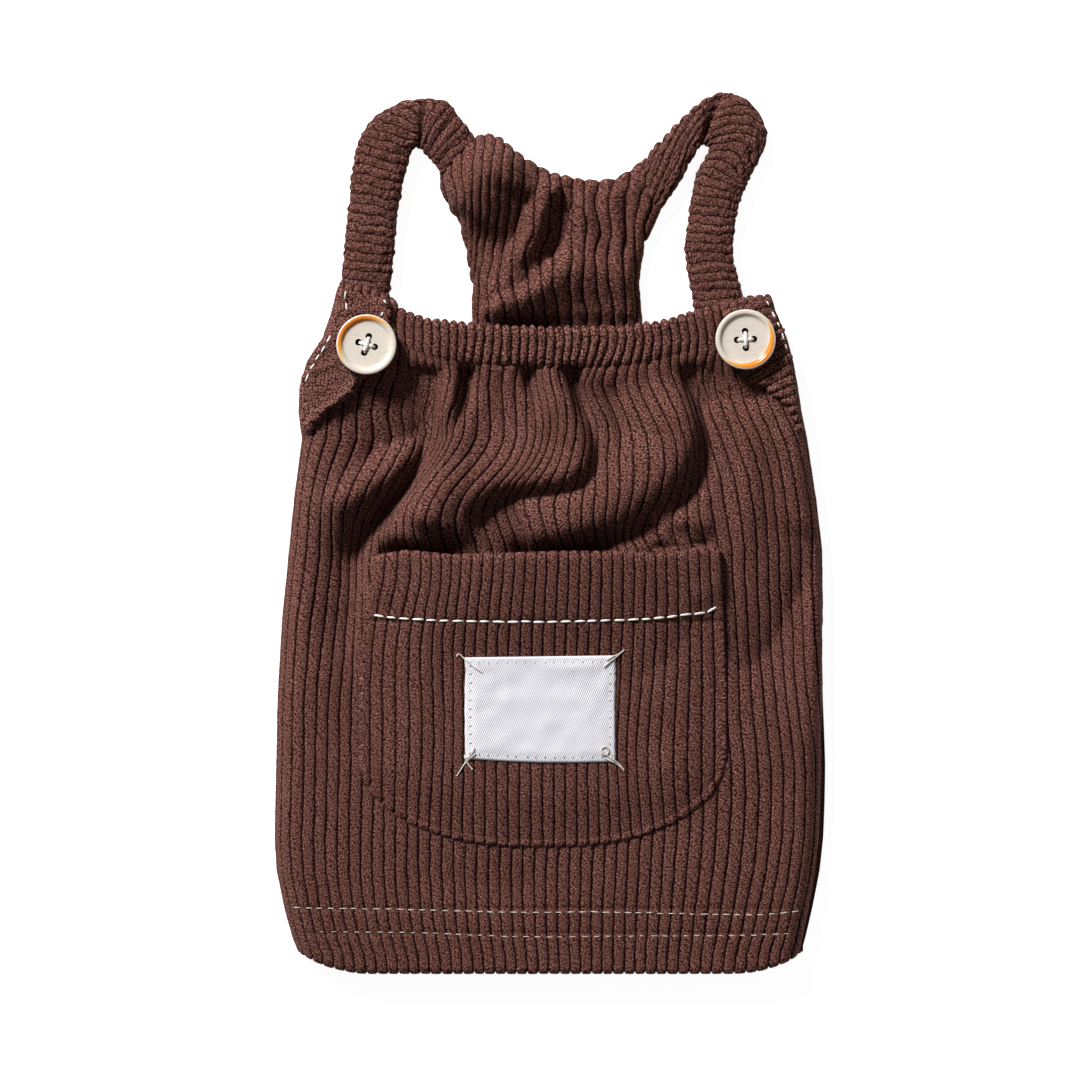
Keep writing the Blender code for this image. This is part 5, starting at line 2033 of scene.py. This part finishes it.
@dataclass
class Label:
    """The woven label, bare, sewn on the pocket."""

    shop: Workshop
    pocket: Surface
    width: float = 45.0
    depth: float = 31.5
    thickness: float = 0.45
    columns: int = 73
    rows: int = 49
    sag: float = 0.7
    clear: float = 0.12
    wave: float = 0.16
    seam_inset: float = 1.5
    seam_depth: float = 0.10
    edge_round: float = 0.3
    cut: tuple[float, float] = (0.045, 0.0318)

    def place(self, across: Array | float, up: Array | float) -> Array:
        """Finds places on the label.

        Args:
            across: Fractions across it.
            up: Fractions up it.

        Returns:
            Their places on the pocket.
        """
        low_left, low_right, high_right, high_left = [np.array(place) for place in LABEL_CORNERS]
        across, up = np.asarray(across, float)[..., None], np.asarray(up, float)[..., None]
        low = low_left + across * (low_right - low_left)
        low = low - np.concatenate([np.zeros_like(across), self.sag * np.sin(math.pi * across)], axis=-1)
        high = high_left + across * (high_right - high_left)
        return low + up * (high - low)

    def level(self, x: Array, y: Array) -> Array:
        """Works out how high the label lies on the wales' tops.

        Args:
            x: Places to the right.
            y: Places up the garment.

        Returns:
            The height of each place.
        """
        reach = (-1.6, -0.8, 0.0, 0.8, 1.6)
        tops = [[self.pocket.top(px + dx, py) for dx in reach] for px, py in zip(x.ravel(), y.ravel())]
        return np.array(tops).max(axis=1).reshape(x.shape)

    def build(self) -> bpy.types.Object:
        """Builds the label.

        Returns:
            The finished piece.
        """
        rng = np.random.default_rng(51)
        across, up = np.meshgrid(np.linspace(0, 1, self.columns), np.linspace(0, 1, self.rows))
        flat = self.place(across, up)
        x, y = flat[..., 0], flat[..., 1]
        edge = 0.10 * soft_noise(rng, self.rows, self.columns, (3, 3))
        sides = np.minimum(across, 1 - across) < 1e-6
        x = x + np.where(sides, edge, 0.0)
        level = self.level(x, y)
        for _ in range(10):
            level[1:-1] = blurred(level, 0)[1:-1]
            level[:, 1:-1] = blurred(level, 1)[:, 1:-1]
        waves = self.wave * np.sin(across * 9.0 + 2.5 * up) * np.sin(math.pi * up) ** 0.5
        waves += 0.10 * soft_noise(rng, self.rows, self.columns, (12, 16))
        inside = np.minimum(np.minimum(up, 1 - up) * self.depth, np.minimum(across, 1 - across) * self.width)
        under = level + self.clear + (waves + 0.2) * smoothstep(0.5, 4.0, inside)
        seam = self.seam_depth * bell(inside, self.seam_inset, 0.5)
        top = under + self.thickness - seam - edge_drop(inside, self.edge_round)
        outer = np.stack([x, y, top], axis=-1)
        inner = np.stack([x, y, under], axis=-1)
        uv = np.stack([across * self.width, up * self.depth], axis=-1)
        piece = grid_shell("woven_label", outer, inner, uv, (6, 6))
        hand_over(piece, self.shop.twill, "label_twill", "label")
        return piece


@dataclass
class Button:
    """A four-hole button with a raised rim, shaped from a cylinder."""

    shop: Workshop
    node: str
    turn: float
    toward: float
    rim_width: float = 1.35
    dish: float = 0.75
    hole_radius: float = 1.0
    hole_circle: float = 2.52
    sides: int = 96

    def build(self) -> bpy.types.Object:
        """Builds the button.

        Returns:
            The finished piece.
        """
        low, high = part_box(self.node)
        middle = (low + high) / 2
        radius = (high.x - low.x) / 2
        thickness = high.z - low.z
        bpy.ops.object.select_all(action="DESELECT")
        bpy.ops.mesh.primitive_cylinder_add(
            vertices=self.sides, radius=radius, depth=thickness, location=middle
        )
        piece = bpy.context.object
        piece.name = self.node + "_resin"
        bpy.ops.object.transform_apply(location=True, rotation=True, scale=True)
        self.dish_face(piece, high.z)
        self.bevel(piece, EDGE_BEVEL, 4)
        self.drill(piece, middle)
        bpy.ops.object.select_all(action="DESELECT")
        piece.select_set(True)
        bpy.context.view_layer.objects.active = piece
        bpy.ops.object.shade_smooth_by_angle(angle=math.radians(35))
        material = CREAM_RESIN.make(middle, self.toward, radius, CRESCENT)
        hand_over(piece, material, "button_plastic", self.node)
        return piece

    def dish_face(self, piece: bpy.types.Object, top: float) -> None:
        """Insets the upper face and presses its middle down, leaving a raised rim.

        Args:
            piece: The button.
            top: The level of its upper face, in metres.
        """
        bpy.ops.object.mode_set(mode="EDIT")
        bpy.ops.mesh.select_all(action="DESELECT")
        bpy.ops.object.mode_set(mode="OBJECT")
        for face in piece.data.polygons:
            face.select = face.normal.z > 0.9 and face.center.z > top - 1e-5
        bpy.ops.object.mode_set(mode="EDIT")
        bpy.ops.mesh.select_mode(type="FACE")
        for inward, down in ((self.rim_width, 0.0), (0.5, self.dish), (0.6, 0.12), (1.2, 0.05)):
            bpy.ops.mesh.inset(thickness=inward * MM, depth=-down * MM)
        bpy.ops.object.mode_set(mode="OBJECT")

    def bevel(self, piece: bpy.types.Object, width: float, segments: int) -> None:
        """Rounds the sharp edges.

        Args:
            piece: The button.
            width: The bevel's width.
            segments: How many faces it has across.
        """
        rounded = piece.modifiers.new("rounded", "BEVEL")
        rounded.width = width * MM
        rounded.segments = segments
        rounded.limit_method = "ANGLE"
        rounded.angle_limit = math.radians(28)
        bpy.context.view_layer.objects.active = piece
        bpy.ops.object.modifier_apply(modifier=rounded.name)

    def drill(self, piece: bpy.types.Object, middle: Vector) -> None:
        """Cuts the four holes, with a small bevel round each.

        Args:
            piece: The button.
            middle: Its middle, in metres.
        """
        for quarter in range(4):
            angle = self.turn + quarter * math.pi / 2
            place = middle + self.hole_circle * MM * Vector((math.cos(angle), math.sin(angle), 0.0))
            bpy.ops.object.select_all(action="DESELECT")
            bpy.ops.mesh.primitive_cylinder_add(
                vertices=28, radius=self.hole_radius * MM, depth=0.02, location=place
            )
            drill = bpy.context.object
            cut = piece.modifiers.new("hole", "BOOLEAN")
            cut.operation = "DIFFERENCE"
            cut.object = drill
            bpy.context.view_layer.objects.active = piece
            bpy.ops.object.modifier_apply(modifier=cut.name)
            bpy.data.objects.remove(drill, do_unlink=True)
        self.bevel(piece, HOLE_BEVEL, 2)


@dataclass
class Sewing:
    """Collects threads and joins them into one piece."""

    name: str
    material: bpy.types.Material
    slot: str
    points: list = field(default_factory=list)
    faces: list = field(default_factory=list)
    count: int = 0

    def lay(self, line: Array, radius: Array | float) -> None:
        """Adds one thread along a line.

        Args:
            line: The places that it follows.
            radius: Its radius, or one for each place.
        """
        points, faces = tube(line, radius, THREAD_SIDES)
        self.points.append(points)
        self.faces += [tuple(number + self.count for number in face) for face in faces]
        self.count += len(points)

    def stitch(self, start: Array, end: Array, height: Callable, radius: float) -> None:
        """Adds one stitch that arches over the cloth.

        Args:
            start: Where the thread comes up.
            end: Where it goes down.
            height: Gives the cloth's height at a place.
            radius: The thread's radius.
        """
        share = np.linspace(0, 1, 7)
        flat = start + share[:, None] * (end - start)
        level = np.array([height(x, y) for x, y in flat])
        crown = np.maximum.accumulate(level)
        crown = np.minimum(crown, np.maximum.accumulate(level[::-1])[::-1])
        level = 0.35 * level + 0.65 * crown
        arch = np.sin(math.pi * share) ** 0.45
        z = level + radius * 0.7 * arch - STITCH_SINK * (1 - arch)
        taper = radius * (0.45 + 0.55 * np.sin(math.pi * share) ** 0.6)
        self.lay(np.column_stack([flat, z]), taper)

    def row(
        self, places: Sequence, height: Callable, pitch: float, gap: float, radius: float, seed: int
    ) -> None:
        """Adds a row of stitches along a line of places, each a little uneven.

        Args:
            places: The line.
            height: Gives the cloth's height at a place.
            pitch: How far apart the stitches start.
            gap: The bare cloth between two of them.
            radius: The thread's radius.
            seed: Seeds their unevenness.
        """
        rng = np.random.default_rng(seed)
        line = smooth_rows(places, 400)
        run = run_length(line)
        at = 0.0
        while at + pitch - gap < run[-1]:
            length = pitch * rng.uniform(0.92, 1.08)
            ends = np.array([at, min(at + length - gap * rng.uniform(0.6, 1.4), run[-1])])
            flat = np.stack([np.interp(ends, run, line[:, k]) for k in range(2)], axis=1)
            flat += rng.normal(0, 0.07, flat.shape)
            self.stitch(flat[0], flat[1], height, radius * rng.uniform(0.9, 1.08))
            at += length

    def finish(self) -> bpy.types.Object:
        """Joins what was laid and returns the piece."""
        piece = make_mesh_object(self.name, np.concatenate(self.points), self.faces)
        return hand_over(piece, self.material, self.slot)


@dataclass
class Dress:
    """The whole dress: its pieces in the order that a maker would put them together."""

    shop: Workshop = field(default_factory=Workshop)

    def report(self, piece: bpy.types.Object) -> None:
        """Logs a finished piece."""
        triangles = sum(len(face.vertices) - 2 for face in piece.data.polygons)
        LOG.info("%s: %d triangles", piece.name, triangles)

    def build(self) -> None:
        """Builds every piece."""
        panel = FrontPanel(self.shop)
        self.report(BackPanel(self.shop).build())
        self.report(BibFacing(self.shop).build())
        front = panel.build()
        self.report(front)
        for strap in self.straps():
            self.report(strap.build())
        facings = [facing.build() for facing in self.facings(panel)]
        for facing in facings:
            self.report(facing)
        patch = Pocket(self.shop, panel).build()
        self.report(patch)
        pocket = Surface(patch)
        label = Label(self.shop, pocket)
        tape = label.build()
        self.report(tape)
        self.report(Button(self.shop, "button_left", math.radians(-16), math.radians(127)).build())
        self.report(Button(self.shop, "button_right", math.radians(3), math.radians(-47)).build())
        self.sew(Surface(front), pocket, Surface(tape), label, facings)

    def straps(self) -> list[Strap]:
        """Lists the straps: the right one's back end is twisted, so its wales run along it.

        Returns:
            The left sleeve, the right one and its twisted end.
        """
        left = (Bend(62.0, -55.0, 4.0, 0.0), Bend(80.0, -54.0, 7.0, 0.0), Bend(100.0, -52.0, 11.0, 0.0),
                Bend(116.0, -50.0, 14.0, 0.0), Bend(122.0, -50.0, 15.0, 0.01), Bend(130.0, -46.0, 10.0, 0.03))
        right = (Bend(62.0, 50.0, 4.0, 0.0), Bend(76.0, 50.0, -4.0, 0.0), Bend(84.0, 50.0, 2.0, 0.0),
                 Bend(92.0, 50.0, 5.0, 0.0), Bend(98.0, 50.0, 10.0, 0.005), Bend(107.0, 49.0, 17.0, 0.03),
                 Bend(112.0, 51.0, 8.0, 0.045), Bend(118.0, 56.0, 0.0, 0.05), Bend(131.0, 57.0, 0.0, 0.05))
        return [
            Strap(self.shop, "strap_left_sleeve", "strap_left", STRAP_LEFT, 61, left, turned=(0.82, -6.0),
                  pinches=((0.82, 0.012, 0.50), (0.90, 0.010, 0.14))),
            Strap(self.shop, "strap_right_sleeve", "strap_right", STRAP_RIGHT, 67, right, last=0.704,
                  pinches=((0.704, 0.010, 0.30),), cut=(0.034, 0.086)),
            Strap(self.shop, "strap_right_twist", "strap_right", STRAP_RIGHT, 71, turned=(0.0, 72.0),
                  knobs=1.0, pinches=((0.708, 0.022, 0.86),), first=0.69, middle=2.9, cut=(0.030, 0.032)),
        ]

    def facings(self, panel: FrontPanel) -> list[ArmholeFacing]:
        """Lists the armhole facings.

        Args:
            panel: The front panel that they lie on.

        Returns:
            The left facing and the right one.
        """
        return [
            ArmholeFacing(self.shop, panel, "facing_left", "armhole_facing_left", ARMHOLE_LEFT, 81,
                          0.10, 0.7, (0.018, 0.052), 0.00062, grooved=0.0),
            ArmholeFacing(self.shop, panel, "facing_right", "armhole_facing_right", ARMHOLE_RIGHT, 83,
                          0.6, 0.4, (0.018, 0.048), 0.00052),
        ]

    def sew(self, front: Surface, pocket: Surface, tape: Surface, label: Label, facings: list) -> None:
        """Sews the seams that show, and the hem's two rows on the underside.

        Args:
            front: The front panel's surface.
            pocket: The pocket's surface.
            tape: The label's surface.
            label: The label, which knows where its edges lie.
            facings: The left and the right armhole facing.
        """
        white = Sewing("white_stitches", self.shop.white_thread, "label_twill")
        cream = Sewing("hem_stitches", self.shop.cream_thread, "label_twill")
        mouth = ((-52.6, -24.8), (-47.4, -25.6), (-32.0, -26.5), (-10.5, -26.8), (10.0, -26.7),
                 (30.6, -25.9), (39.3, -24.9), (45.8, -24.4), (49.2, -23.4), (51.0, -21.8))
        white.row(mouth, pocket.top, 4.0, 0.45, 0.36, 3)
        upper = ((-76.8, -112.6), (-40, -113.2), (-11, -114), (14, -113.9), (60, -114.7), (76.6, -113.4))
        lower = ((-69, -119.8), (-40, -120.1), (-8, -121.3), (30, -121.1), (58, -120.9), (75, -120.3))
        cream.row(upper, front.top, 3.4, 0.9, 0.15, 5)
        cream.row(lower, front.top, 3.4, 1.2, 0.13, 7)
        sides = [Surface(facing) for facing in facings]
        left = ((-65.4, 58.9), (-67.9, 54.6), (-70.2, 51.0), (-72.2, 47.4), (-73.3, 43.4))
        white.row(left, sides[0].top, 3.1, 0.9, 0.27, 9)
        right = ((65.3, 69.4), (67.4, 65.2), (70.0, 59.4), (72.0, 52.2))
        white.row(right, sides[1].top, 3.3, 1.1, 0.24, 10)
        for x0, y0, x1, y1 in ((-61.0, 72.4, -61.2, 69.6), (-60.9, 68.9, -60.6, 66.3),
                               (-49.6, 69.6, -48.6, 68.4), (-49.8, 66.0, -50.3, 64.6)):
            white.stitch(np.array((x0, y0)), np.array((x1, y1)), sides[0].top, 0.24)
        self.report(white.finish())
        self.report(cream.finish())
        under = Sewing("hem_stitches_back", self.shop.white_thread, "label_twill")
        for row, seed in zip(HEM_SEAMS, (15, 17)):
            rng = np.random.default_rng(seed)
            for x in np.arange(-74.0, 74.0, 3.6):
                line = np.column_stack([
                    np.linspace(x, x + 2.3, 5), np.full(5, row) + rng.normal(0, 0.05, 5),
                    (0.55, 0.28, 0.24, 0.28, 0.55),
                ])
                under.lay(line, 0.2)
        self.report(under.finish())
        self.sew_label(tape, pocket, label)
        self.sew_buttons()

    def sew_label(self, tape: Surface, pocket: Surface, label: Label) -> None:
        """Sews the label on with small cream stitches and leaves thread tails at its corners.

        Args:
            tape: The label's surface.
            pocket: The pocket's surface.
            label: The label.
        """
        cream = Sewing("label_stitches", self.shop.cream_thread, "label_twill")
        rng = np.random.default_rng(20)
        for share in np.linspace(0.03, 0.97, 16):
            for up, inward in ((0.055, 1.0), (0.945, -1.0)):
                place = label.place(share + rng.normal(0, 0.004), up)
                heading = np.array((0.25, inward)) * rng.uniform(0.45, 0.65)
                cream.stitch(place - heading, place + heading, tape.top, 0.17)
        for share in np.linspace(0.08, 0.92, 11):
            for across, inward in ((0.036, 1.0), (0.964, -1.0)):
                place = label.place(across, share + rng.normal(0, 0.006))
                heading = np.array((inward, 0.3)) * rng.uniform(0.45, 0.65)
                cream.stitch(place - heading, place + heading, tape.top, 0.17)
        self.report(cream.finish())
        tails = Sewing("label_thread_tails", self.shop.cream_thread, "label_twill")

        def height(x: float, y: float) -> float:
            """Returns the height of the label or, off it, of the pocket."""
            return max(tape.top(x, y), pocket.top(x, y))

        routes = (
            ((-27.6, -37.2), (-27.3, -36.6), (-26.4, -36.8), (-25.3, -37.9), (-23.8, -39.2), (-22.4, -40.4),
             (-20.2, -41.8)),
            ((22.5, -35.2), (21.2, -36.4), (19.8, -37.6), (18.2, -38.8), (16.4, -40.4)),
            ((22.2, -35.7), (20.6, -36.6), (18.9, -37.3), (17.2, -38.3)),
            ((-27.6, -73.0), (-26.2, -70.8), (-24.6, -68.2), (-22.9, -65.9), (-22.2, -64.6)),
            ((-22.9, -71.0), (-24.2, -69.4), (-25.0, -67.8), (-25.3, -66.6)),
            ((-27.2, -72.4), (-25.8, -70.2), (-23.9, -68.0), (-21.9, -66.2)),
            ((22.4, -71.2), (21.0, -69.4), (19.6, -68.3), (17.8, -67.2), (16.4, -66.0), (15.6, -64.9),
             (16.8, -64.2), (17.9, -65.2), (17.2, -66.6), (15.7, -66.4)),
            ((22.1, -70.8), (20.2, -69.3), (18.2, -68.4), (16.6, -67.6)),
        )
        for route in routes:
            flat = smooth_rows(route, 26)
            level = np.array([height(x, y) for x, y in flat])
            for _ in range(4):
                level[1:-1] = np.maximum(level[1:-1], (level[:-2] + level[2:]) / 2)
            tails.lay(np.column_stack([flat, level + 0.22]), 0.19)
        self.report(tails.finish())

    def sew_buttons(self) -> None:
        """Sews each button on through its holes with crossed white thread."""
        thread = Sewing("button_thread", self.shop.white_thread, "label_twill")
        for node, turn in (("button_left", -16.0), ("button_right", 3.0)):
            low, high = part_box(node)
            middle = np.array((low + high) / 2) / MM
            face = high.z / MM - DISH_DEPTH
            for bar, (start, lift) in enumerate(((turn, 0.0), (turn + 90.0, 0.36))):
                angle = math.radians(start)
                heading = np.array((math.cos(angle), math.sin(angle)))
                side = np.array((-heading[1], heading[0]))
                for strand in (-1.0, 0.0, 1.0):
                    share = np.linspace(-1, 1, 13)
                    aside = strand * STRAND_GAP * side * (1 - 0.35 * share**2)[:, None]
                    flat = middle[:2] + share[:, None] * STRAND_REACH * heading + aside
                    down = 2.2 * smoothstep(0.82, 1.0, np.abs(share))
                    z = face + 0.22 + lift * (1 - share**2) + 0.12 * (1 - abs(strand)) - down
                    thread.lay(np.column_stack([flat, z]), 0.2)
        self.report(thread.finish())


# ---------------------------------------------------------------- the studio


@dataclass
class Studio:
    """A pale floor, soft lights and a camera straight above, as in the photograph."""

    view_width: float = 324.0
    view_middle: tuple[float, float] = (-2.7, -2.4)
    cloth_level: float = 10.0
    camera_height: float = 1500.0
    floor_size: float = 6.0
    floor_level: float = -0.0003
    sky: float = 0.11

    def floor(self) -> None:
        """Lays the floor."""
        bpy.ops.object.select_all(action="DESELECT")
        bpy.ops.mesh.primitive_plane_add(size=self.floor_size, location=(0.0, 0.0, self.floor_level))
        floor = bpy.context.object
        floor.name = "studio_floor"
        material = bpy.data.materials.new("pale_floor")
        material.use_nodes = True
        Nodes(material.node_tree).put(material.node_tree.nodes["Principled BSDF"], {
            "Base Color": (0.50, 0.50, 0.50, 1.0),
            "Emission Color": (1.0, 1.0, 1.0, 1.0),
            "Emission Strength": 0.92,
            "Roughness": 0.95,
            "Specular IOR Level": 0.1,
        })
        floor.data.materials.append(material)

    def light(self, name: str, place: tuple[float, ...], size: float, power: float) -> None:
        """Adds a soft square light that faces the dress.

        Args:
            name: Its name.
            place: Where it hangs, in metres.
            size: Its side, in metres.
            power: Its power in watts.
        """
        data = bpy.data.lights.new(name, "AREA")
        data.shape = "SQUARE"
        data.size = size
        data.energy = power
        lamp = bpy.data.objects.new(name, data)
        lamp.location = place
        lamp.rotation_euler = (-Vector(place)).to_track_quat("-Z", "Y").to_euler()
        bpy.context.scene.collection.objects.link(lamp)

    def lights(self) -> None:
        """Hangs the lights: one large key from the top of the picture, and soft fill all round."""
        self.light("key", (-1.70, 2.30, 1.90), 0.75, 218.0)
        self.light("fill", (0.9, -0.5, 1.3), 1.2, 1.2)
        world = bpy.data.worlds.new("studio")
        world.use_nodes = True
        sky = world.node_tree.nodes["Background"]
        Nodes(world.node_tree).put(sky, {"Color": (1.0, 1.0, 1.0, 1.0), "Strength": self.sky})
        bpy.context.scene.world = world
        bpy.context.scene.view_settings.view_transform = "Standard"

    def camera(self) -> None:
        """Hangs the camera straight above the dress."""
        data = bpy.data.cameras.new("camera")
        distance = (self.camera_height - self.cloth_level) * MM
        data.lens = data.sensor_width * distance / (self.view_width * MM)
        data.clip_end = 20.0
        camera = bpy.data.objects.new("camera", data)
        camera.location = (self.view_middle[0] * MM, self.view_middle[1] * MM, self.camera_height * MM)
        bpy.context.scene.collection.objects.link(camera)
        bpy.context.scene.camera = camera


def main() -> None:
    """Builds the studio and the dress."""
    logging.basicConfig(level=logging.INFO, format="%(name)s %(message)s")
    studio = Studio()
    studio.camera()
    studio.floor()
    studio.lights()
    Dress().build()


if __name__ == "__main__":
    main()
